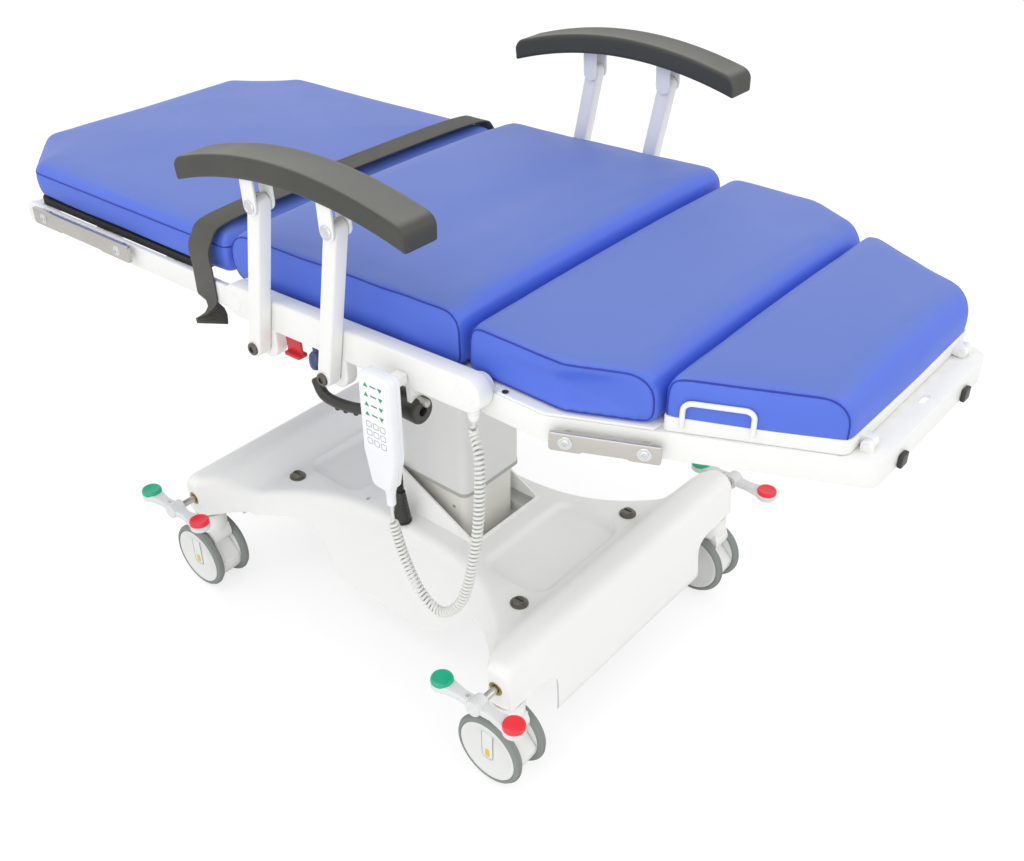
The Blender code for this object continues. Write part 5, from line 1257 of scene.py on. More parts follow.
@dataclass
class Strap:
    """Patient strap over the back cushion: flat webbing, fixed at the frame sides, with a loose near tail."""

    middle_s: float = -0.104
    width: float = 0.047
    thickness: float = 0.0022
    side_y: float = 0.3173
    top: float = 0.0705
    twist: float = 142.0
    tail_top: float = -0.034
    tail_length: float = 0.046

    def route(self) -> list[Vector]:
        """Line of the strap across the chair.

        Returns:
            Points of Y and height in the back section's frame.
        """
        top, side = self.top, self.side_y
        climb = [(side + 0.001, top - 0.03), (0.3088, top - 0.012), (0.296, top + 0.001),
                 (0.262, top + 0.006), (0.2, top + 0.0088), (0.1, top + 0.01)]
        near = [(-side - 0.001, -0.08), (-side, -0.06), (-side, -0.03), (-side, 0.01)]
        far = [(side, 0.01), (side, -0.02), (side, -0.038)]
        line = near + [(-y, h) for y, h in climb] + [(0.0, top + 0.0102)] + list(reversed(climb)) + far
        return flowing([(y, h, 0.0) for y, h in line], 0.006)

    def build(self) -> None:
        """Flat band with bound edges, twisted where its near tail hangs."""
        line = self.route()
        rings = []
        half = self.width / 2
        for index, place in enumerate(line):
            along = (line[min(index + 1, len(line) - 1)] - line[max(index - 1, 0)]).normalized()
            out = Vector((-along.y, along.x, 0.0))
            hang = eased((self.tail_top - place.y) / self.tail_length) if place.x < 0.0 else 0.0
            turn = math.radians(self.twist) * hang
            ring = []
            for across, lift in ((-half, -0.5), (-half * 0.9, -0.62), (half * 0.9, -0.62), (half, -0.5), (half, 0.5),
                                 (half * 0.9, 0.62), (half * 0.3, 0.5), (-half * 0.3, 0.5), (-half * 0.9, 0.62),
                                 (-half, 0.5)):
                lifted = (lift + 0.3) * self.thickness
                along_s = across * math.cos(turn) - lifted * math.sin(turn)
                spot = place + out * (lifted * math.cos(turn) + across * math.sin(turn))
                ring.append((self.middle_s + along_s, spot.x, spot.y))
            rings.append(ring)
        put(skin("patient_strap", rings, BACK), WEBBING, "back", "strap")


@dataclass
class Caster:
    """Twin-wheel caster: hooded fork on a swivel stem, and two wheels on one axle."""

    side: Side
    end: End
    reach: Pair = (0.356, 0.286)
    trail: float = 0.012
    axle: float = 0.062535
    radius: float = 0.0624
    inner: float = 0.0205
    outer: float = 0.0368
    roof: float = 0.1282
    hood: float = 0.053
    fork_half: float = 0.0192

    @property
    def name(self) -> str:
        """Side and end, as the bodies use them."""
        return f"{self.side.label}_{self.end.label}"

    def swivel(self) -> Matrix:
        """Place of the swivel axis on the floor."""
        return CHAIR @ shift(self.end.value * self.reach[0], self.side.value * self.reach[1])

    def build_wheel(self, sign: int) -> None:
        """Wheel on one side of the fork: tyre, dished disc, outlined tongue moulding and its insert.

        Args:
            sign: Direction of the wheel from the fork, along Y.
        """
        body = f"wheels_{self.name}"
        hub = self.swivel() @ shift(-self.trail, 0.0, self.axle)
        spin = hub @ Matrix.Rotation(-sign * math.pi / 2, 4, "X")
        low, high, full = self.inner, self.outer, self.radius
        rim = full - 0.0075
        tyre = [(rim - 0.002, low + 0.001), (rim, low), (full - 0.003, low + 0.0015), (full - 0.0006, low + 0.005),
                (full, low + 0.01), (full, high - 0.01), (full - 0.0006, high - 0.006),
                (full - 0.0025, high - 0.0022), (rim + 0.001, high), (rim - 0.0006, high - 0.0004),
                (rim - 0.0012, high - 0.003)]
        label = "out" if sign == self.side.value else "in"
        nodes = [f"wheels_{self.name}"] if label == "out" else []
        put(lathe(f"tyre_{label}_{self.name}", tyre, spin, 64), TYRE, body, *nodes)
        disc = [(0.006, low), (rim - 0.006, low), (rim - 0.0016, low + 0.001), (rim - 0.0016, high - 0.0012),
                (rim - 0.004, high - 0.0006), (rim - 0.009, high - 0.0018), (rim - 0.012, high - 0.0034),
                (0.02, high - 0.003), (0.0, high - 0.0024)]
        put(lathe(f"disc_{label}_{self.name}", disc, spin, 64), DISC, body)
        tongue = rounded([(-0.011, 0.037), (-0.011, -0.0165), (0.011, -0.0165), (0.011, 0.037)],
                         [0.0001, 0.0075, 0.0075, 0.0001], 6)
        put(plate(f"tongue_{label}_{self.name}", tongue, high - 0.006, high - 0.0022, spin, 0.0006), DISC, body)
        line = [(point.x, point.y, high - 0.0024) for point in tongue]
        put(pipe(f"tongue_line_{label}_{self.name}", line, 0.0005, spin, sides=6), KEY_GREY, body)
        slot_edge = rounded(box(-0.0042, 0.0042, -0.0125, 0.004), 0.003)
        put(plate(f"insert_{label}_{self.name}", slot_edge, high - 0.004, high - 0.0016, spin, 0.0004), INSERT, body)

    def build_fork(self) -> None:
        """Hooded fork with its boss, neck ring and stem."""
        body = f"caster_{self.name}"
        swivel = self.swivel()
        roof, axle = self.roof, self.axle
        arc = [(-self.trail + self.hood * math.cos(turn), axle + self.hood * math.sin(turn))
               for turn in (math.pi + math.pi * step / 20 for step in range(21))]
        back = [(0.0405, roof - 0.03), (0.024, roof - 0.004), (0.024, roof + 0.002), (-0.024, roof + 0.002),
                (-0.054, axle + 0.04), (-0.0645, axle + 0.014)]
        hood = arc + rounded(back, [0.02, 0.008, 0.002, 0.004, 0.02, 0.008], 5)
        fork = plate(f"fork_{self.name}", hood, -self.fork_half, self.fork_half, swivel @ UPRIGHT, 0.0042)
        boss = [(0.0, roof - 0.004), (0.0262, roof - 0.004), (0.027, roof), (0.027, 0.1515), (0.0262, 0.153),
                (0.027, 0.1545), (0.0268, 0.158), (0.025, 0.16), (0.011, 0.1602), (0.0075, 0.161),
                (0.0075, 0.188), (0.0, 0.188)]
        put(merged(f"caster_fork_{self.name}", fork, lathe("boss", boss, swivel)), PAINT, body,
            f"caster_housing_{self.name}")

    def build(self) -> None:
        """Fork and both wheels."""
        self.build_fork()
        self.build_wheel(1)
        self.build_wheel(-1)


@dataclass
class BaseCover:
    """Moulded cover of the base: waisted deck, raised end ridges, trays, collar and caster arches."""

    wall: float = 0.004
    deck: float = 0.197
    ridge: float = 0.245
    skirt: float = 0.075
    end_skirt: float = 0.088
    waist: float = 0.122
    end_half: float = 0.31
    flare: float = 0.075
    edge: float = 0.016
    tray_x: Pair = (0.152, 0.277)
    tray_half: float = 0.112
    tray_depth: float = 0.012
    collar_x: Pair = (-0.092, 0.112)
    collar_apex: Pair = (-0.056, 0.284)
    collar_half: float = 0.083
    arch_reach: float = 0.0918
    arch_top: float = 0.165
    knob: Pair = (0.265, 0.149)
    caster: Pair = (0.356, 0.286)
    shaft_z: float = 0.2
    flank_y: Pair = (0.125, 0.34)
    screw_x: float = -0.118
    screw_y: float = 0.112

    def stations(self) -> Iterator[tuple[float, float, float, float]]:
        """Place, top height, lower edge and end rounding of each section, from head to foot."""
        half = []
        for index in range(45):
            x = 0.35 * index / 44
            half.append((x, self.deck + (self.ridge - self.deck) * eased((x - 0.282) / 0.052), self.skirt, 0.0))
        for index in range(1, 9):
            turn = math.pi / 2 * index / 8
            half.append((0.352 + 0.026 * math.sin(turn), self.ridge - 0.022 * (1 - math.cos(turn)), self.skirt,
                         0.006 * (1 - math.cos(turn))))
        half.append((0.3835, 0.16, self.skirt + 0.004, 0.006))
        half.append((0.388, self.end_skirt + 0.012, self.end_skirt, 0.006))
        for x, *rest in reversed(half[1:]):
            yield (-x, *rest)
        yield from half

    def section(self, station: tuple[float, float, float, float], wall: float) -> list[Point]:
        """Closed section at one station, drawn in by a wall thickness for the hollow.

        Args:
            station: Place, top height, lower edge and end rounding.
            wall: Wall thickness, or 0 for the outside.

        Returns:
            The points of the section.
        """
        x, top, low, squeeze = station
        share = min(1.0, abs(x) / 0.34) ** 3.0
        crest = self.waist + (self.end_half - self.waist) * share - squeeze - wall
        foot = crest + self.flare * (1.0 - share) + 0.006
        if wall:
            x -= math.copysign(wall, x) if abs(x) > 0.345 else 0.0
            top -= wall
            low -= self.edge
        radius = min(self.edge - wall, (top - low) * 0.4)
        bend = (foot + (crest - foot) * 0.45, low + (top - low) * 0.4)
        shoulder = (crest + radius * 0.25, top - radius)
        half = []
        for step in range(11):
            share = step / 11
            rest = 1.0 - share
            control = [2 * mid - (first + last) / 2 for first, mid, last in zip((foot, low), bend, shoulder)]
            half.append(tuple(rest * rest * first + 2 * rest * share * mid + share * share * last
                              for first, mid, last in zip((foot, low), control, shoulder)))
        for step in range(9):
            turn = math.pi / 2 * step / 8
            half.append((crest - radius + radius * 1.25 * math.cos(turn), top - radius + radius * math.sin(turn)))
        half += [((crest - radius) * level, top) for level in (0.75, 0.5, 0.25)]
        near = [(x, -width, height) for width, height in half]
        return near + [(x, 0.0, top)] + [(x, width, height) for width, height in reversed(half)]

    def build_trays(self, cover: Piece) -> None:
        """Sunken trays at both ends of the deck, with rounded lips.

        Args:
            cover: The cover that they are cut into.
        """
        deep = -self.tray_depth
        for end in End:
            spans = sorted(end.value * x for x in self.tray_x)
            well = mirrored([(x, self.tray_half) for x in spans])
            outline = rounded(well, 0.026)
            floor = inset(outline, -self.wall)
            carved(cover, plate("tray", floor, self.deck - self.tray_depth - self.wall, self.deck - 0.001, CHAIR),
                   join=True)
            depths = ((0.01, deep), (0.0045, deep + 0.0012), (0.0012, deep + 0.0045), (-0.0005, -0.0045),
                      (-0.002, -0.0016), (-0.005, 0.0), (-0.0056, 0.0008))
            rings = stack(outline, [(draw, self.deck + level) for draw, level in depths])
            carved(cover, skin("tray_well", rings, CHAIR))

    def build_collar(self, cover: Piece) -> None:
        """Wedge collar round the column, open at the top.

        Args:
            cover: The cover that it is joined to.
        """
        head, foot = self.collar_x
        apex_x, apex_z = self.collar_apex
        low = self.deck - self.wall
        side = [(head - self.wall, low), (foot + self.wall, low), (foot + self.wall, self.deck + 0.002),
                (apex_x, apex_z), (head - self.wall, apex_z)]
        outline = rounded(side, [0.0005, 0.0005, 0.0005, 0.016, 0.012], 6)
        half = self.collar_half + self.wall
        carved(cover, plate("collar", outline, -half, half, CHAIR @ UPRIGHT, 0.003), join=True)
        hole = rounded(box(head, foot, -self.collar_half, self.collar_half), 0.006)
        carved(cover, plate("column_opening", hole, self.skirt, apex_z + 0.01, CHAIR))

    def build_knobs(self) -> None:
        """Capped hold-down knobs on the deck, each with a raised grip."""
        profile = [(0.0, 0.0), (0.0148, 0.0), (0.0152, 0.0014), (0.0147, 0.0032), (0.0124, 0.0044), (0.0108, 0.0048),
                   (0.0104, 0.0056), (0.0098, 0.0082), (0.0088, 0.0091), (0.006, 0.0088), (0.0, 0.0084)]
        ring = [(0.014, 0.0001), (0.0172, 0.0001), (0.017, 0.0008), (0.015, 0.0011), (0.014, 0.0001)]
        grip = box(-0.0074, 0.0074, -0.0019, 0.0019)
        for end in End:
            for side in Side:
                spot = CHAIR @ shift(end.value * self.knob[0], side.value * self.knob[1], self.deck)
                name = f"{side.label}_{end.label}"
                knob = carved(lathe(f"hold_down_{name}", profile, spot), plate("slot", grip, 0.0064, 0.02, spot))
                put(knob, OLIVE, "base", f"cover_knob_{name}")
                put(lathe(f"hold_down_ring_{name}", ring, spot), PAINT, "base")

    def build(self) -> None:
        """Cover with its cuts, shaft bushes, knobs and screws, and the chassis under it."""
        stations = list(self.stations())
        cover = skin("moulded_cover", [self.section(station, 0.0) for station in stations], CHAIR)
        carved(cover, skin("hollow", [self.section(station, self.wall) for station in stations], CHAIR))
        self.build_trays(cover)
        self.build_collar(cover)
        reach, top = self.arch_reach, self.arch_top
        arch = [(0.0, top + reach * 0.03), (reach * 0.7, top), (reach * 0.82, top - reach * 0.035),
                (reach * 0.92, top - reach * 0.1), (reach * 0.98, top - reach * 0.2), (reach, top - reach * 0.32),
                (reach, -0.01), (0.0, -0.01)]
        edge = [(0.07, -0.01), (0.07, 0.0742), (0.112, 0.079), (0.15, 0.11), (0.188, 0.141), (0.235, 0.151),
                (0.3563, 0.16), (0.3563, -0.01)]
        flank = rounded(edge, [0.001, 0.001, 0.04, 0.06, 0.05, 0.05, 0.001, 0.001], 8)
        hole = rod(0.012, -0.03, 0.06)
        bush = [(0.0068, 0.004), (0.0117, 0.004), (0.0117, 0.0262), (0.0108, 0.0275), (0.008, 0.0275),
                (0.0068, 0.0262), (0.0068, 0.004)]
        for end in End:
            for side in Side:
                x, y = end.value * self.caster[0], side.value * self.caster[1]
                axle = CHAIR @ facing((x, y, self.shaft_z), side.out)
                edge = [(end.value * point.x, point.y) for point in flank]
                carved(cover, lathe("arch", arch, CHAIR @ shift(x, y)), lathe("shaft_hole", hole, axle, 24))
                carved(cover, plate("flank", edge, *side.span(*self.flank_y), CHAIR @ UPRIGHT))
                put(lathe(f"shaft_bush_{side.label}_{end.label}", bush, axle, 28), BRASS, "base")
        put(cover, MOULDED, "base", "base_cover")
        dressed("base_frame", PAINT)
        self.build_knobs()
        for side in Side:
            place = CHAIR @ facing((self.screw_x, side.value * self.screw_y, self.deck), (0, 0, 1))
            screw(f"deck_screw_{side.label}", place, 0.0042, 0.0012, SCREW, "base")


@dataclass
class Brakes:
    """Brake shafts across both ends, with a rocker pedal on each shaft end."""

    shaft: Pair = (0.356, 0.2)
    pedal_y: Pair = (0.34, 0.366)
    arm: float = 0.069

    def build_pedal(self, side: Side, end: End) -> None:
        """Rocker pedal: waisted arm with a screw, hub, a green and a red pad.

        Args:
            side: Side of the chair.
            end: End of the base.
        """
        body, name = f"brake_{end.label}", f"{side.label}_{end.label}"
        middle = side.value * sum(self.pedal_y) / 2
        spot = CHAIR @ shift(end.value * self.shaft[0], middle, self.shaft[1])
        half = [(-self.arm, 0.0165), (-self.arm + 0.018, 0.012), (-0.03, 0.0084), (-0.012, 0.01), (0.012, 0.01),
                (0.03, 0.0084), (self.arm - 0.018, 0.012), (self.arm, 0.0165)]
        cap = [(self.arm + 0.0165 * math.sin(turn), 0.0165 * math.cos(turn))
               for turn in (math.pi * step / 12 for step in range(1, 12))]
        outline = [(x, width) for x, width in half] + cap + [(x, -width) for x, width in reversed(half)]
        outline += [(-x, y) for x, y in reversed(cap)]
        bar = plate("arm", outline[::-1], -0.0062, 0.0058, spot, 0.0026)
        axis = spot @ facing((0.0, 0.0, 0.0), side.out)
        hub = [(0.0, -0.013), (0.0118, -0.013), (0.013, -0.0118), (0.013, 0.0112), (0.0118, 0.0128),
               (0.007, 0.013), (0.006, 0.0118), (0.0, 0.0118)]
        cups = [lathe("cup", [(0.0, -0.007), (0.016, -0.007), (0.0172, -0.0058), (0.0172, 0.004), (0.0, 0.004)],
                      spot @ shift(x)) for x in (-self.arm, self.arm)]
        put(merged(f"pedal_arm_{name}", bar, lathe("hub", hub, axis), *cups), PEDAL, body, f"pedal_{name}")
        top = [(0.0, 0.004), (0.0174, 0.004), (0.0175, 0.0075), (0.0166, 0.01), (0.0142, 0.011), (0.0118, 0.0104),
               (0.006, 0.0096), (0.0, 0.0094)]
        for label, x, finish in (("green", -self.arm, GREEN), ("red", self.arm, RED)):
            put(lathe(f"pad_{label}_{name}", top, spot @ shift(x)), finish, body)
        spot_screw = spot @ shift(-0.018, 0.0, 0.0056)
        screw(f"pedal_screw_{name}", spot_screw, 0.004, 0.0014, SCREW, body)

    def build(self) -> None:
        """Shafts and pedals at both ends."""
        for end in End:
            dressed(f"brake_shaft_{end.label}", STEEL)
            for side in Side:
                self.build_pedal(side, end)


@dataclass
class Column:
    """Two-stage lifting column with its tilt head and the braided conduit beside it."""

    middle_x: float = 0.005
    lower: Pair = (0.139, 0.129)
    upper: Pair = (0.155, 0.145)
    corner: float = 0.014
    lower_z: Pair = (0.1582, 0.5)
    upper_z: Pair = (0.27, 0.612)
    conduit: Pair = (-0.028, -0.116)
    boot_top: float = 0.2593
    stretch_z: Pair = (0.27, 0.49)
    clip_z: Pair = (0.5, 0.518)
    screw_x: Pair = (-0.05, 0.044)
    screw_z: float = 0.235
    screw_sunk: float = 0.0009

    def outline(self, size: Point, draw: float = 0.0) -> Outline:
        """Rounded section of a stage.

        Args:
            size: Its length and width.
            draw: Distance that it is drawn in by.

        Returns:
            The points of the section.
        """
        x, y = size[0] / 2 - draw, size[1] / 2 - draw
        return rounded(box(self.middle_x - x, self.middle_x + x, -y, y), self.corner - draw)

    def build_stages(self) -> None:
        """Lower stage with its screws, and the shroud over it with a band of painted shade at its lower edge and the
        conduit's clip.
        """
        put(plate("lower_stage", self.outline(self.lower), *self.lower_z, CHAIR), STAGE, "base", "column_lower")
        low, high = self.upper_z
        levels = ((0.0072, low), (0.0, low), (-0.0006, low + 0.001), (-0.0006, low + 0.007), (0.0, low + 0.008),
                  (0.0, high - 0.002), (0.002, high))
        rings = [[(point.x, point.y, level) for point in self.outline(self.upper, draw)] for draw, level in levels]
        shroud = skin("shroud_tube", rings, CHAIR, 30.0)
        carved(shroud, plate("sleeve", self.outline(self.lower, -0.0006), low - 0.01, high - 0.014, CHAIR))
        x, y = self.conduit
        clip = plate("clip", rounded([(x - 0.011, -0.0705), (x - 0.011, y - 0.006), (x + 0.011, y - 0.006),
                                      (x + 0.011, -0.0705)], 0.003), *self.clip_z, CHAIR, 0.0015)
        put(merged("column_shroud_tube", shroud, clip), SHROUD, "lift", "column_upper")
        # band of painted shade round the shroud's lower edge
        shadow_gap = self.outline(self.upper, -0.0011) + self.outline(self.upper, 0.0011)[::-1]
        put(plate("shroud_hem_band", shadow_gap, low + 0.0002, low + 0.0074, CHAIR, 0.0004), SHADOW_GAP_PAINT, "lift")
        for index, reach in enumerate(self.screw_x):
            face = self.screw_sunk - self.lower[1] / 2
            place = CHAIR @ facing((self.middle_x + reach, face, self.screw_z), Side.NEAR.out)
            screw(f"stage_screw_{index}", place, 0.0032, 0.0012, BOLT, "base")
        dressed("tilt_head", PAINT)

    def build_conduit(self) -> None:
        """Ribbed boot on the deck and the braided sleeve up to the clip."""
        x, y = self.conduit
        spot = CHAIR @ shift(x, y)
        boot = [(0.0, 0.1972), (0.0165, 0.1972), (0.0165, 0.2)]
        for index in range(9):
            share = index / 8
            radius, height = 0.015 - 0.007 * share, 0.2005 + 0.056 * share
            boot += [(radius, height), (radius + 0.0008, height + 0.0018), (radius, height + 0.004)]
        boot += [(0.007, self.boot_top), (0.0, self.boot_top)]
        put(lathe("ribbed_boot", boot, spot), BLACK, "base", "conduit_boot")
        steps = 40
        top = self.clip_z[0] - 0.0003
        profile = [(0.0, self.boot_top - 0.004)]
        for index in range(steps + 1):
            height = self.boot_top - 0.004 + (top - self.boot_top + 0.004) * index / steps
            profile.append((0.006 - 0.0003 * (index % 2), height))
        sleeve = lathe("cable_sleeve", profile + [(0.0, top)], spot, 28)
        sleeve.data.materials.clear()
        sleeve.data.materials.append(SLEEVE.material())
        low, high = (tuple(spot @ Vector((0.0, 0.0, height))) for height in self.stretch_z)
        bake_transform(sleeve)
        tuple(low)
        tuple(high)
        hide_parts("cable_conduit")
        LOG.info("cable_sleeve stretches between base and lift")

    def build(self) -> None:
        """Stages and conduit."""
        self.build_stages()
        self.build_conduit()


@dataclass
class Rail:
    """Stainless accessory rail on spacers, with washered screws."""

    height: float = 0.028
    thickness: float = 0.007
    stand: float = 0.01
    spacer: float = 0.008

    def build(self, name: str, start: Point, end: Point, out: Point, body: str, inset_by: float,
              place: Matrix) -> None:
        """Rail between two points of the frame's face.

        Args:
            name: Name of the CAD node that it replaces.
            start: Middle of the bar's first end, on the frame's face.
            end: Middle of the bar's last end, on the frame's face.
            out: Direction away from the frame.
            body: Body that carries it.
            inset_by: Distance of the screws from the bar's ends.
            place: Matrix from the section to the chair.
        """
        first, last, away = Vector(start), Vector(end), Vector(out).normalized()
        along = (last - first).normalized()
        length = (last - first).length
        axes = Matrix((along, Vector((0.0, 0.0, 1.0)), away)).transposed().to_4x4()
        spot = place @ Matrix.Translation(first) @ axes
        half = self.height / 2
        nick = -half + 0.0022
        notch = [(0.0, -half), (length * 0.28, -half), (length * 0.31, nick), (length * 0.7, nick),
                 (length * 0.73, -half), (length, -half), (length, half), (0.0, half)]
        outline = rounded(notch, [0.004, 0.002, 0.002, 0.002, 0.002, 0.004, 0.003, 0.003], 4)
        bar = plate(f"{name}_bar", outline, self.stand, self.stand + self.thickness, spot, 0.0011)
        shank = rod(self.spacer, 0.0003, self.stand + 0.001)
        spacers = [lathe("spacer", shank, spot @ shift(reach), 28) for reach in (inset_by, length - inset_by)]
        put(merged(f"{name}_stainless", bar, *spacers), STEEL, body, name)
        face = self.stand + self.thickness
        for index, reach in enumerate((inset_by, length - inset_by)):
            spot_out = spot @ shift(reach, 0.0, face)
            washer = [(0.0, -0.0002), (0.0088, -0.0002), (0.0088, 0.0007), (0.008, 0.0012), (0.0, 0.0012)]
            put(lathe(f"{name}_washer_{index}", washer, spot_out, 32), SCREW, body)
            screw(f"{name}_screw_{index}", spot_out @ shift(0, 0, 0.001), 0.0056, 0.0016, SCREW, body)


@dataclass
class SeatFrame:
    """Side beams with round hinge ends and armrest lugs, the deck and the tubes under it."""

    span: float = 0.437
    radius: float = 0.024
    inner: float = 0.317
    outer: float = 0.3445
    arm_s: Pair = (0.06, 0.203)
    arm_h: float = -0.0465
    lug: float = 0.0225
    post_face: float = 0.368
    deck_s: Pair = (0.03, 0.405)
    deck_half: float = 0.3162
    deck_top: float = 0.004
    button_s: float = 0.366
    plug_s: float = 0.3
    button_y: float = 0.3115

    def build_beam(self, side: Side) -> None:
        """Beam with its lugs; bolts with socket heads stand on the lugs.

        Args:
            side: Side of the chair.
        """
        sign = side.value
        beam = capsule((0.0, 0.0), (self.span, 0.0), self.radius, 24)
        pieces = [plate("bar", beam, *side.span(self.inner, self.outer), SEAT @ UPRIGHT, 0.0035)]
        for spot in self.arm_s:
            lug = capsule((spot, 0.0), (spot, self.arm_h), self.lug, 20)
            ends = side.span(self.inner + 0.008, self.outer - 0.0002)
            pieces.append(plate("lug", lug, *ends, SEAT @ UPRIGHT, 0.003))
        for spot in (0.0, self.span):
            journal = rod(0.01, -0.01, 0.004)
            place = SEAT @ facing((spot, sign * self.inner, 0.0), side.out)
            pieces.append(lathe("journal", journal, place, 28))
        if side is Side.NEAR:
            edge = rounded(box(0.3335, 0.3415, -0.06, -0.012), 0.0015, 3)
            pieces.append(plate("lever_lug", edge, *side.span(0.318, 0.342), SEAT @ UPRIGHT, 0.001))
        put(merged(f"side_beam_{side.label}", *pieces), PAINT, "seat", f"seat_beam_{side.label}")
        for index, spot in enumerate(self.arm_s):
            face = SEAT @ facing((spot, sign * (self.post_face + 0.0008), self.arm_h), side.out)
            shank = rod(0.0058, -0.026, 0.0005)
            put(lathe(f"arm_bolt_{side.label}_{index}", shank, face, 24), BOLT, "seat")
            screw(f"arm_socket_{side.label}_{index}", face, 0.0092, 0.003, BOLT, "seat", 3)
        for index, spot in enumerate((0.0, self.span)):
            face = SEAT @ facing((spot, sign * self.outer, 0.0), side.out)
            cap = [(0.0, -0.001), (0.015, -0.001), (0.015, 0.0004), (0.0142, 0.0009), (0.0, 0.0011)]
            put(lathe(f"hinge_cap_{side.label}_{index}", cap, face, 40), PAINT, "seat")

    def build_deck(self) -> None:
        """Deck sheet with a rubber button and a dark plug on each side, and the frame under it."""
        edge = rounded(box(*self.deck_s, -self.deck_half, self.deck_half), 0.004, 4)
        put(plate("deck_sheet", edge, 0.0001, self.deck_top, SEAT, 0.0012), DECK, "seat", "seat_deck")
        button = [(0.0, 0.0), (0.0042, 0.0), (0.0044, 0.0012), (0.0034, 0.0024), (0.0, 0.0028)]
        plug = [(0.0, 0.0), (0.0036, 0.0), (0.0036, 0.0004), (0.0, 0.0005)]
        for side in Side:
            y = side.value * self.button_y
            place = SEAT @ shift(self.button_s, y, self.deck_top)
            put(lathe(f"deck_button_{side.label}", button, place, 24), BLACK, "seat")
            place = SEAT @ shift(self.plug_s, y, self.deck_top - 0.0002)
            put(lathe(f"deck_plug_{side.label}", plug, place, 24), HOLLOW, "seat")
        dressed("seat_frame", PAINT)

    def build(self) -> None:
        """Beams and deck."""
        for side in Side:
            self.build_beam(side)
        self.build_deck()


@dataclass
class BackFrame:
    """Back section: side plates with cross tubes, board and accessory rails."""

    inner: float = 0.3065
    outer: float = 0.3155
    head: float = -0.6
    low: float = -0.04
    top: float = -0.004
    cross: tuple[float, ...] = (-0.21, -0.4, -0.585)
    cheek: float = 0.0225
    rail_s: Pair = (-0.552, -0.28)
    tube: float = 0.025
    tube_low: float = 0.0074
    board_s: tuple[float, float, float] = (-0.684, -0.569, -0.13)
    board_half: float = 0.302
    board: float = 0.012
    screw_s: tuple[float, ...] = (-0.6, -0.5, -0.3, -0.18)
    screw_y: float = 0.27

    def build(self) -> None:
        """Frame, board and rails."""
        pieces = []
        for side in Side:
            ends = side.span(self.inner, self.outer)
            edge = rounded(box(self.head, 0.0, self.low, self.top), [0.006, 0.002, 0.002, 0.01], 6)
            pieces.append(plate("side_plate", edge, *ends, BACK @ UPRIGHT, 0.0016))
            ring = capsule((-0.0005, 0.0), (0.0005, 0.0), self.cheek, 24)
            pieces.append(plate("cheek", ring, *ends, BACK @ UPRIGHT, 0.0016))
        reach = self.outer - 0.003
        low, half = self.low + self.tube_low, self.tube / 2
        for spot in self.cross:
            tube = rounded(box(spot - half, spot + half, low, low + self.tube), 0.003, 4)
            pieces.append(plate("cross_tube", tube, -reach, reach, BACK @ UPRIGHT))
        put(merged("back_side_frame", *pieces), PAINT, "back", "back_frame")
        board_low = low + self.tube + 0.0003
        head, shoulder, foot = self.board_s
        edge = mirrored([(head, self.board_half - 0.096), (shoulder, self.board_half), (foot, self.board_half)])
        outline = rounded(edge, [0.012, 0.02, 0.004, 0.004, 0.02, 0.012], 6)
        put(plate("back_panel", outline, board_low, board_low + self.board, BACK, 0.0014), BOARD, "back", "back_board")
        for side in Side:
            first, last = ((spot, side.value * self.outer, self.top - 0.008) for spot in self.rail_s)
            Rail().build(f"back_rail_{side.label}", first, last, side.out, "back", 0.03, BACK)
        for index, spot in enumerate(self.screw_s):
            for side in Side:
                place = BACK @ facing((spot, side.value * self.screw_y, board_low), (0.0, 0.0, -1.0))
                screw(f"board_screw_{side.label}_{index}", place, 0.0045, 0.0014, SCREW, "back")


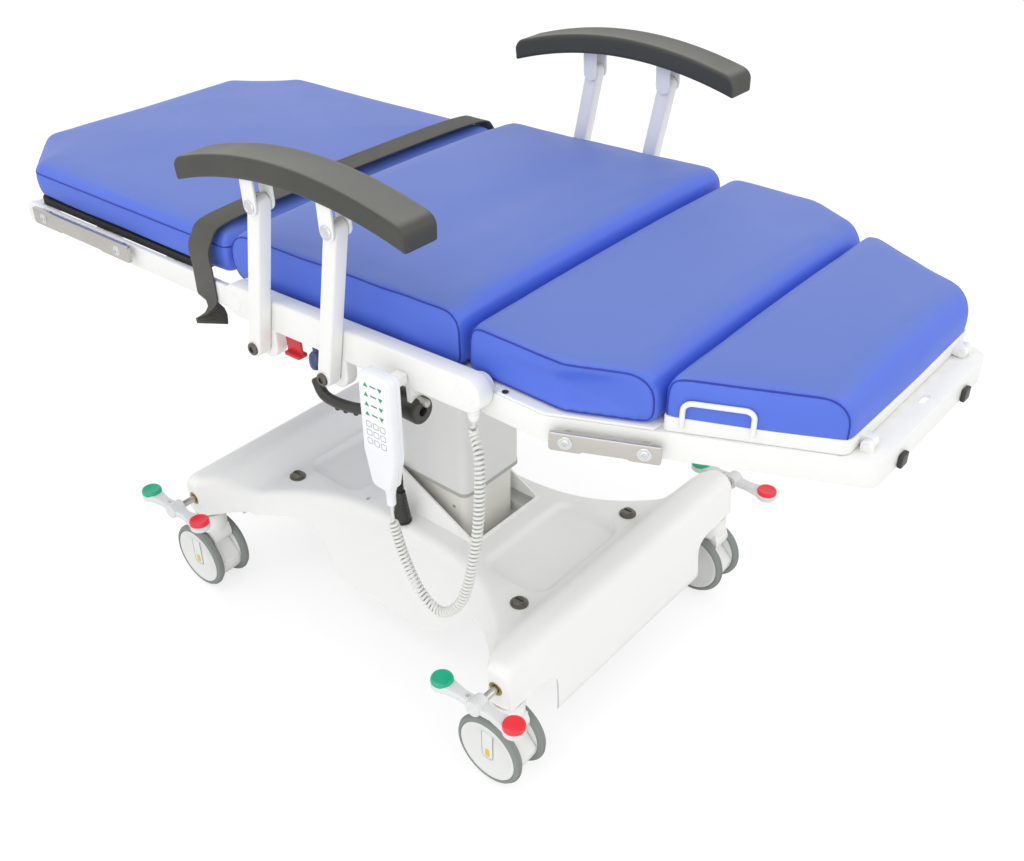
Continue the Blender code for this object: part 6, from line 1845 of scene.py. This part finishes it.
@dataclass
class LegFrame:
    """Leg section: tapered frame with hinge cheeks, deck, accessory rails and end bumpers."""

    inner: float = 0.3065
    outer: float = 0.3155
    top: float = -0.0008
    height: float = 0.0365
    kink: float = 0.1
    taper: float = math.radians(25.4)
    end: float = 0.4425
    wall: float = 0.009
    sheet: float = 0.004
    deck_end: float = 0.2165
    grommet: Pair = (0.036, 0.3105)
    bumper_y: float = 0.091
    shelf: float = 0.398
    cross: tuple[float, ...] = (0.07, 0.195)
    rail: Pair = (0.108, 0.228)
    rail_drop: float = 0.0225
    cheek: float = 0.017
    hinge: Pair = (0.4195, 0.006)
    ear_y: float = 0.129

    def build_fold(self, low: float) -> Piece:
        """End shelf under the flap's foot, wrapped softly round into the end face and the sides.

        Args:
            low: Height of the frame's lower edge.

        Returns:
            The hollow shelf with its oval hole.
        """
        edge = mirrored([(x, leg_half(x)) for x in (self.shelf, self.end)])
        cap = plate("end_cap", rounded(edge, [0.0004, 0.017, 0.017, 0.0004], 8), low, self.top - 0.0005, LEG, 0.0045)
        inside = mirrored([(x - self.sheet, leg_half(x) - self.sheet) for x in (self.shelf, self.end)])
        outline = rounded(inside, [0.0004, 0.013, 0.013, 0.0004], 8)
        hollow = plate("end_hollow", outline, low - 0.01, self.top - 0.0005 - self.sheet, LEG)
        oval = capsule((self.end - 0.018, -0.003), (self.end - 0.018, 0.011), 0.0042)
        return carved(cap, hollow, plate("oval_hole", oval, self.top - 0.02, self.top + 0.01, LEG))

    def build_frame(self) -> None:
        """Folded side plates, end fold, cross tubes, hinge cheeks and the flap's lugs."""
        low = self.top - self.height
        skew = self.wall / math.cos(self.taper)
        tip = leg_half(self.shelf + 0.0005)
        pieces = [self.build_fold(low)]
        for side in Side:
            sign = side.value
            strip = [(0.0, self.outer), (self.kink, self.outer), (self.shelf + 0.0005, tip),
                     (self.shelf + 0.0005, tip - skew), (self.kink, self.inner), (0.0, self.inner)]
            outline = rounded([(x, sign * y) for x, y in strip], [0.0005, 0.03, 0.0005, 0.0005, 0.03, 0.0005], 5)
            pieces.append(plate("sides", outline, low, self.top, LEG, 0.0022))
            ring = capsule((-0.0005, 0.0), (0.0005, 0.0), self.cheek, 24)
            pieces.append(plate("cheek", ring, *side.span(self.inner, self.outer), LEG @ UPRIGHT, 0.0016))
            first = self.ear_y + 0.0065
            lug = capsule(self.hinge, (self.hinge[0] + 0.001, self.top - 0.01), 0.0072)
            pieces.append(plate("flap_lug", lug, *side.span(first, first + 0.008), LEG @ UPRIGHT, 0.001))
            pin = rod(0.004, -0.014, 0.0092)
            place = LEG @ facing((self.hinge[0], sign * first, self.hinge[1]), side.out)
            pieces.append(lathe("flap_pin", pin, place, 20))
        for spot in self.cross:
            reach = leg_half(spot + 0.011) - 0.003
            tube = rounded(box(spot - 0.011, spot + 0.011, low + 0.002, low + 0.024), 0.003, 4)
            pieces.append(plate("cross", tube, -reach, reach, LEG @ UPRIGHT))
        put(merged("leg_side_frame", *pieces), PAINT, "leg", "leg_frame")

    def build_deck(self) -> None:
        """Deck sheet under the leg cushion, with a rimmed hole on each side."""
        low = self.top + 0.0003
        neck, clear = self.inner - 0.0005, 0.0245
        sheet = mirrored([(-0.024, neck), (clear, neck), (clear + 0.002, self.outer), (self.kink, self.outer),
                          (self.deck_end, leg_half(self.deck_end))])
        put(plate("leg_deck_sheet", sheet, low, low + 0.004, LEG, 0.0012), PAINT, "leg", "leg_deck")
        for side in Side:
            rim = [(0.0, 0.0), (0.004, 0.0), (0.0042, 0.001), (0.003, 0.0014), (0.0024, 0.0006), (0.0, 0.0006)]
            spot = LEG @ shift(self.grommet[0], side.value * self.grommet[1], low + self.sheet)
            put(lathe(f"leg_grommet_{side.label}", rim, spot, 24), BLACK, "leg")

    def build_trim(self) -> None:
        """Accessory rails along the tapered sides, and rubber bumpers on the end bar."""
        level = self.top - self.rail_drop
        for side in Side:
            sign = side.value
            out = (math.sin(self.taper), sign * math.cos(self.taper), 0.0)
            first, last = ((spot, sign * leg_half(spot), level) for spot in self.rail)
            inset_by = 0.018 / math.cos(self.taper)
            Rail(0.025, spacer=0.0072).build(f"leg_rail_{side.label}", first, last, out, "leg", inset_by, LEG)
            block = rounded(box(-0.009, 0.009, -0.037, -0.019), 0.003, 5)
            place = LEG @ shift(0.0, sign * self.bumper_y) @ CROSSWISE
            bumper = plate(f"end_bumper_{side.label}", block, self.end + 0.0003, self.end + 0.0063, place, 0.0016)
            put(bumper, BLACK, "leg", f"bumper_{side.label}")

    def build(self) -> None:
        """Frame, deck and trim."""
        self.build_frame()
        self.build_deck()
        self.build_trim()


@dataclass
class FootTray:
    """Foot flap's lipped tray on two hinge ears, with its wire handle."""

    start: float = 0.2195
    end: float = 0.409
    hinge: float = 0.4195
    low: float = -0.0063
    sheet: float = 0.004
    lip: float = 0.0155
    lip_wall: float = 0.004
    ear_y: float = 0.129
    handle: Pair = (0.2435, 0.3155)
    wire: float = 0.0033

    def build(self) -> None:
        """Tray, ears and handle."""
        top = self.low + self.sheet
        edge = mirrored([(x - self.hinge, leg_half(x) - 0.004) for x in (self.start, self.end)])
        outline = rounded(edge, [0.007, 0.015, 0.015, 0.007])
        pieces = [plate("tray_sheet", outline, self.low, top, FLAP, 0.0012)]
        wall = inset(outline, self.lip_wall)
        pieces.append(plate("tray_lip", outline + wall[::-1], top - 0.002, top + self.lip, FLAP, 0.0012))
        for side in Side:
            ends = side.span(self.ear_y - 0.006, self.ear_y + 0.006)
            ear = capsule((0.0, 0.0), (self.end - self.hinge + 0.001, top + 0.0036), 0.007)
            pieces.append(plate("ear", ear, *ends, FLAP @ UPRIGHT, 0.0008))
        put(merged("foot_tray_shell", *pieces), PAINT, "foot", "foot_tray")
        low = top + self.lip / 3
        crest = low + 0.034
        first, last = self.handle
        corners = [(first, low), (first, crest), (last, crest), (last, low)]
        bends = rounded(corners, [0.0001, 0.01, 0.01, 0.0001], 8)[8:-8]
        route = [(x - self.hinge, -leg_half(x) + 0.0003, height) for x, height in bends]
        put(pipe("lifting_handle", route, self.wire, FLAP), PAINT, "foot", "tray_handle")


@dataclass
class Armrest:
    """Parallelogram armrest: two flat posts, an arched foam pad and the pins between them."""

    side: Side
    pivots: Pair = (0.06, 0.203)
    pivot_h: float = -0.0465
    rise: Pair = (0.0521, 0.2214)
    post_y: Pair = (0.3455, 0.3675)
    post: float = 0.012
    pad_s: Pair = (-0.031, 0.392)
    pad_y: Pair = (0.3205, 0.3785)
    thickness: float = 0.032
    crown: float = 0.033
    middle_h: float = 0.2144
    tab_y: tuple[Pair, Pair] = ((0.3405, 0.3445), (0.3685, 0.3725))

    def build_posts(self) -> None:
        """Posts with rounded edges, and a brass bush at each foot."""
        sign, label = self.side.value, self.side.label
        ends = self.side.span(*self.post_y)
        for end, spot in zip(("rear", "front"), self.pivots):
            foot = Vector((spot, self.pivot_h))
            outline = capsule(foot, foot + Vector(self.rise), self.post, 20)
            put(plate(f"arm_bar_{end}_{label}", outline, *ends, SEAT @ UPRIGHT, 0.0032), PAINT, f"arm_{end}_{label}",
                f"arm_post_{end}_{label}")
            bush = box(0.0062, 0.0096, -0.0008, 0.0012)
            place = SEAT @ facing((spot, sign * self.post_y[0], self.pivot_h), (0.0, -sign, 0.0))
            put(lathe(f"arm_bush_{end}_{label}", bush, place, 28), BRASS, f"arm_{end}_{label}")

    def underside(self, place: float) -> float:
        """Height of the pad's underside at a place along the seat."""
        first, last = self.pad_s
        return self.middle_h - self.crown * ((2 * place - first - last) / (last - first)) ** 2

    def build_pad(self) -> None:
        """Arched pad with a dished top, squared ends and rolled edges, its tabs and pins."""
        sign, label = self.side.value, self.side.label
        body = f"arm_top_{label}"
        first, last = self.pad_s
        middle_y, half = sign * sum(self.pad_y) / 2, (self.pad_y[1] - self.pad_y[0]) / 2
        section = rounded([(-half * 0.95, 0.0), (half * 0.95, 0.0), (half, self.thickness), (-half, self.thickness)],
                          [0.003, 0.003, 0.0042, 0.0042], 4)
        section = even(section, 0.0036, True)
        length = last - first
        close_in = (0.0, 0.0008, 0.0028, 0.006, 0.01, 0.015, 0.021, 0.028)
        stations = [*close_in] + [0.04 + (length - 0.08) * step / 22 for step in range(23)]
        stations += [length - spot for spot in reversed(close_in)]
        rings = []
        for spot in stations:
            close = min(spot, length - spot)
            roll = 0.013 * (1.0 - math.sqrt(max(0.0, 1.0 - (1.0 - min(1.0, close / 0.013)) ** 2)))
            draw = 0.0025 * (1.0 - math.sqrt(max(0.0, 1.0 - (1.0 - min(1.0, close / 0.0028)) ** 2)))
            hollow = 0.004 * min(1.0, max(0.0, (close - 0.012) / 0.018)) ** 0.6
            base = self.underside(first + spot)
            ring = []
            for point in inset(section, draw) if draw > 1e-6 else section:
                level = max(0.0, point.y / self.thickness)
                dish = hollow * max(0.0, 1.0 - (point.x / (half * 0.84)) ** 2) ** 0.7 if level > 0.8 else 0.0
                ring.append((first + spot, middle_y + point.x, base + point.y - dish - roll * level))
            rings.append(ring)
        pad = skin(f"arm_cushion_{label}", rings, SEAT, 50.0, True)
        put(finer(pad), FOAM, body, f"arm_pad_{label}")
        tabs = []
        for spot in self.pivots:
            pin_s, pin_h = spot + self.rise[0], self.pivot_h + self.rise[1]
            edge = capsule((pin_s, pin_h), (pin_s, self.underside(pin_s) + 0.006), 0.0125, 16)
            for near, far in self.tab_y:
                tabs.append(plate("tab", edge, *self.side.span(near, far), SEAT @ UPRIGHT, 0.001))
            spot_out = SEAT @ facing((pin_s, sign * (self.tab_y[0][0] + 0.001), pin_h), self.side.out)
            tabs.append(lathe("pin", rod(0.0058, 0.0, 0.03), spot_out, 24))
        put(merged(f"arm_tabs_{label}", *tabs), PAINT, body)
        head = [(0.0, -0.001), (0.0094, -0.001), (0.0094, 0.0014), (0.008, 0.0026), (0.0052, 0.003),
                (0.0046, 0.0024), (0.0, 0.0024)]
        for index, spot in enumerate(self.pivots):
            place = (spot + self.rise[0], sign * self.tab_y[1][1], self.pivot_h + self.rise[1])
            put(lathe(f"arm_pin_head_{label}_{index}", head, SEAT @ facing(place, self.side.out), 32), SCREW, body)

    def build(self) -> None:
        """Posts and pad."""
        self.build_posts()
        self.build_pad()


@dataclass
class Handset:
    """Hand control on its hook: tapered shell, key film, arrow keys and the cord's strain relief."""

    middle_x: float = 0.2375
    faces: Pair = (-0.397, -0.375)
    top: float = 0.729
    bottom: float = 0.556
    half_top: float = 0.0278
    half_bottom: float = 0.0165
    taper: float = 0.61
    hook_z: float = 0.708
    relief: Pair = (0.2433, -0.386)
    gland: Pair = (0.3423, -0.331)
    arrow_rows: Pair = (0.7125, 0.014)
    outline_rows: Pair = (0.6545, 0.0128)

    def outline(self, draw: float) -> Outline:
        """Front outline in X and Z.

        Args:
            draw: Distance that it is drawn in by.

        Returns:
            The points of the outline.
        """
        corners = [(self.half_bottom, self.bottom), (self.half_top, self.taper), (self.half_top, self.top),
                   (-self.half_top, self.top), (-self.half_top, self.taper), (-self.half_bottom, self.bottom)]
        edge = rounded(corners, [0.012, 0.03, 0.011, 0.011, 0.03, 0.012], 8)
        return [Vector((self.middle_x + point.x, point.y)) for point in (inset(edge, draw) if draw else edge)]

    def build_shell(self) -> None:
        """Shell with rolled edges and a parting line, and the film on its face."""
        front, back = self.faces
        levels = ((0.005, front), (0.0022, front + 0.0006), (0.0006, front + 0.0024), (0.0, front + 0.006),
                  (0.0, front + 0.0118), (0.0008, front + 0.0122), (0.0008, front + 0.013), (0.0, front + 0.0134),
                  (0.0004, back - 0.003), (0.0024, back - 0.0007), (0.005, back))
        rings = [[(point.x, level, point.y) for point in self.outline(draw)] for draw, level in levels]
        shell = skin("handset_shell", rings, FLAT, 40.0)
        relief = [(0.006, 0.53), (0.0062, 0.533)]
        for index in range(4):
            relief += [(0.0064, 0.534 + 0.003 * index), (0.0056, 0.5352 + 0.003 * index)]
        relief += [(0.0068, 0.547), (0.008, 0.56), (0.0, 0.56)]
        collar = lathe("relief", [(0.0, 0.53)] + relief, shift(*self.relief), 28)
        put(merged("handset_body", shell, collar), HANDSET, "seat", "handset")
        film = rounded([(0.0212, 0.618), (0.0222, 0.723), (-0.0222, 0.723), (-0.0212, 0.618)],
                       [0.01, 0.006, 0.006, 0.01])
        place = shift(self.middle_x) @ UPRIGHT
        put(plate("key_film", film, front - 0.0004, front + 0.0004, place), KEYPAD, "seat")

    def build_keys(self) -> None:
        """Four rows of arrow keys, and outline keys below them."""
        front = self.faces[0]
        place = shift(self.middle_x) @ UPRIGHT
        keys, arrows, outlines = [], [], []
        for row in range(4):
            level = self.arrow_rows[0] - self.arrow_rows[1] * row
            for column, tip in ((-0.0125, 0.0036), (0.0125, -0.0036)):
                spot = box(column - 0.0054, column + 0.0054, level - 0.005, level + 0.005)
                keys.append(plate("key", rounded(spot, 0.0026, 5), front - 0.0008, front, place, 0.0003))
                foot = level - tip * 0.7
                arrow = [(column, level + tip), (column - 0.004, foot), (column + 0.004, foot)]
                arrows.append(plate("arrow", arrow, front - 0.0011, front - 0.0006, place))
            bar = rounded(box(-0.0052, 0.0052, level - 0.001, level + 0.001), 0.0009, 4)
            outlines.append(plate("bar", bar, front - 0.0007, front, place))
        for row in range(3):
            level = self.outline_rows[0] - self.outline_rows[1] * row
            for column in (-0.0122, 0.0, 0.0122):
                spot = rounded(box(column - 0.0044, column + 0.0044, level - 0.0041, level + 0.0041), 0.002, 5)
                outlines.append(pipe("outline", [(self.middle_x + point.x, front - 0.0004, point.y) for point in spot],
                                     0.00035, sides=6, closed=True))
        put(merged("arrow_keys", *keys), KEYPAD, "seat")
        put(merged("key_arrows", *arrows), KEY_GREEN, "seat")
        put(merged("key_outlines", *outlines), KEY_GREY, "seat")

    def build_mounts(self) -> None:
        """Hook on the beam and the ribbed gland that takes the cord's other end."""
        x = self.middle_x
        edge = rounded(box(x - 0.009, x + 0.009, -0.3751, -0.3448), 0.003, 5)
        put(plate("handset_bracket", edge, self.hook_z - 0.01, self.hook_z + 0.004, FLAT, 0.002), PAINT, "seat",
            "handset_hook")
        gland = [(0.0, 0.676), (0.0052, 0.676), (0.006, 0.6775), (0.0066, 0.68), (0.0075, 0.6815),
                 (0.0075, 0.685), (0.0066, 0.686), (0.0075, 0.687), (0.0075, 0.6918), (0.0, 0.6918)]
        put(lathe("cord_nut", gland, shift(*self.gland), 28), PAINT, "seat", "cord_gland")

    def build(self) -> None:
        """Shell, keys and mounts."""
        self.build_shell()
        self.build_keys()
        self.build_mounts()


@dataclass
class Controls:
    """Release lever, armrest lock knob and release tab under the near beam."""

    lever_axis: Pair = (-0.33, 0.651)
    hub_x: Pair = (0.1653, 0.2545)
    lock_y: float = -0.33075
    beam_low: float = -0.0243
    knob_s: float = 0.14885
    tab_s: Pair = (0.0879, 0.1219)
    bar: tuple[Point, ...] = ((0.1793, -0.336, 0.64), (0.1593, -0.343, 0.622), (0.1193, -0.345, 0.612),
                              (0.0813, -0.345, 0.612), (0.0673, -0.345, 0.632))

    def build_lever(self) -> None:
        """Glossy hub with end rings, and the curved bar with small grips."""
        y, z = self.lever_axis
        first, last = self.hub_x
        length = last - first
        hub = [(0.0, 0.0), (0.016, 0.0), (0.0186, 0.002), (0.019, 0.004), (0.019, length * 0.34),
               (0.0182, length * 0.36), (0.0182, length * 0.4), (0.019, length * 0.42), (0.019, length - 0.004),
               (0.0184, length - 0.0015), (0.0165, length), (0.0068, length), (0.0068, length - 0.014),
               (0.0, length - 0.014)]
        axis = facing((first, y, z), (1.0, 0.0, 0.0))
        route = flowing(self.bar, 0.004)
        pieces = [lathe("hub", hub, axis, 56), pipe("bar", route, 0.0078, sides=20)]
        tip = [(0.0, -0.004), (0.006, -0.0032), (0.0078, 0.0), (0.0078, 0.004), (0.0, 0.004)]
        pieces.append(lathe("tip", tip, facing(route[-1], route[-2] - route[-1]), 24))
        for share in (0.35, 0.48, 0.61):
            spot = route[int(share * len(route))]
            nub = [(0.0, 0.0), (0.0036, 0.0), (0.0036, 0.0086), (0.0026, 0.0098), (0.0, 0.0102)]
            pieces.append(lathe("nub", nub, facing(spot, (0.0, -0.4, -1.0)), 16))
        put(merged("lever_bar", *pieces), BLACK, "lever", "release_lever")
        pin = [(0.0, 0.0), (0.0055, 0.0), (0.0055, 0.014), (0.0048, 0.0165), (0.003, 0.0176), (0.0, 0.0178)]
        place = SEAT @ facing((0.3418, y, -0.0467), (1.0, 0.0, 0.0))
        put(lathe("stop_pin", pin, place, 28), STEEL, "seat", "lever_stop_pin")

    def build_lock(self) -> None:
        """Pull knob on its stem and the red release tab."""
        y, low = self.lock_y, self.beam_low
        knob = [(0.0, low), (0.004, low), (0.004, low - 0.0135), (0.007, low - 0.0155), (0.0094, low - 0.0185),
                (0.0108, low - 0.024), (0.011, low - 0.03), (0.0104, low - 0.035), (0.0084, low - 0.039),
                (0.005, low - 0.0412), (0.0, low - 0.042)]
        put(lathe("lock_knob_grip", knob, SEAT @ shift(self.knob_s, y), 40), BLUE_KNOB, "lock_knob",
            "arm_lock_knob")
        first, last = self.tab_s
        hinge = low - 0.004
        barrel = lathe("barrel", [(0.0, 0.0), (0.0036, 0.0), (0.004, 0.0006), (0.004, last - first - 0.0006),
                                  (0.0036, last - first), (0.0, last - first)],
                       SEAT @ facing((first, y, hinge), (1.0, 0.0, 0.0)), 24)
        edge = rounded(box(first + 0.002, last - 0.002, hinge - 0.028, hinge), 0.002, 4)
        web = plate("web", edge, y - 0.002, y + 0.002, SEAT @ UPRIGHT, 0.0008)
        edge = rounded(box(first + 0.001, last - 0.001, y - 0.009, y + 0.009), 0.004, 6)
        grip = plate("grip", edge, hinge - 0.03, hinge - 0.0252, SEAT, 0.0012)
        put(merged("release_tab_grip", barrel, web, grip), RED_TAB, "release_tab", "arm_release_tab")

    def build(self) -> None:
        """Lever, knob and tab."""
        self.build_lever()
        self.build_lock()


def main() -> None:
    """Set the stage, then build and dress the sub-assemblies in order."""
    logging.basicConfig(level=logging.INFO, format="%(message)s")
    assemblies = [Studio(), HandsetCord(), Cushions(), Strap(), BaseCover(), Brakes(), Column(), SeatFrame(),
                  BackFrame(), LegFrame(), FootTray(), Handset(), Controls()]
    assemblies += [Caster(side, end) for end in End for side in Side] + [Armrest(side) for side in Side]
    for assembly in assemblies:
        LOG.info("building %s", type(assembly).__name__)
        assembly.build()


if __name__ == "__main__":
    main()
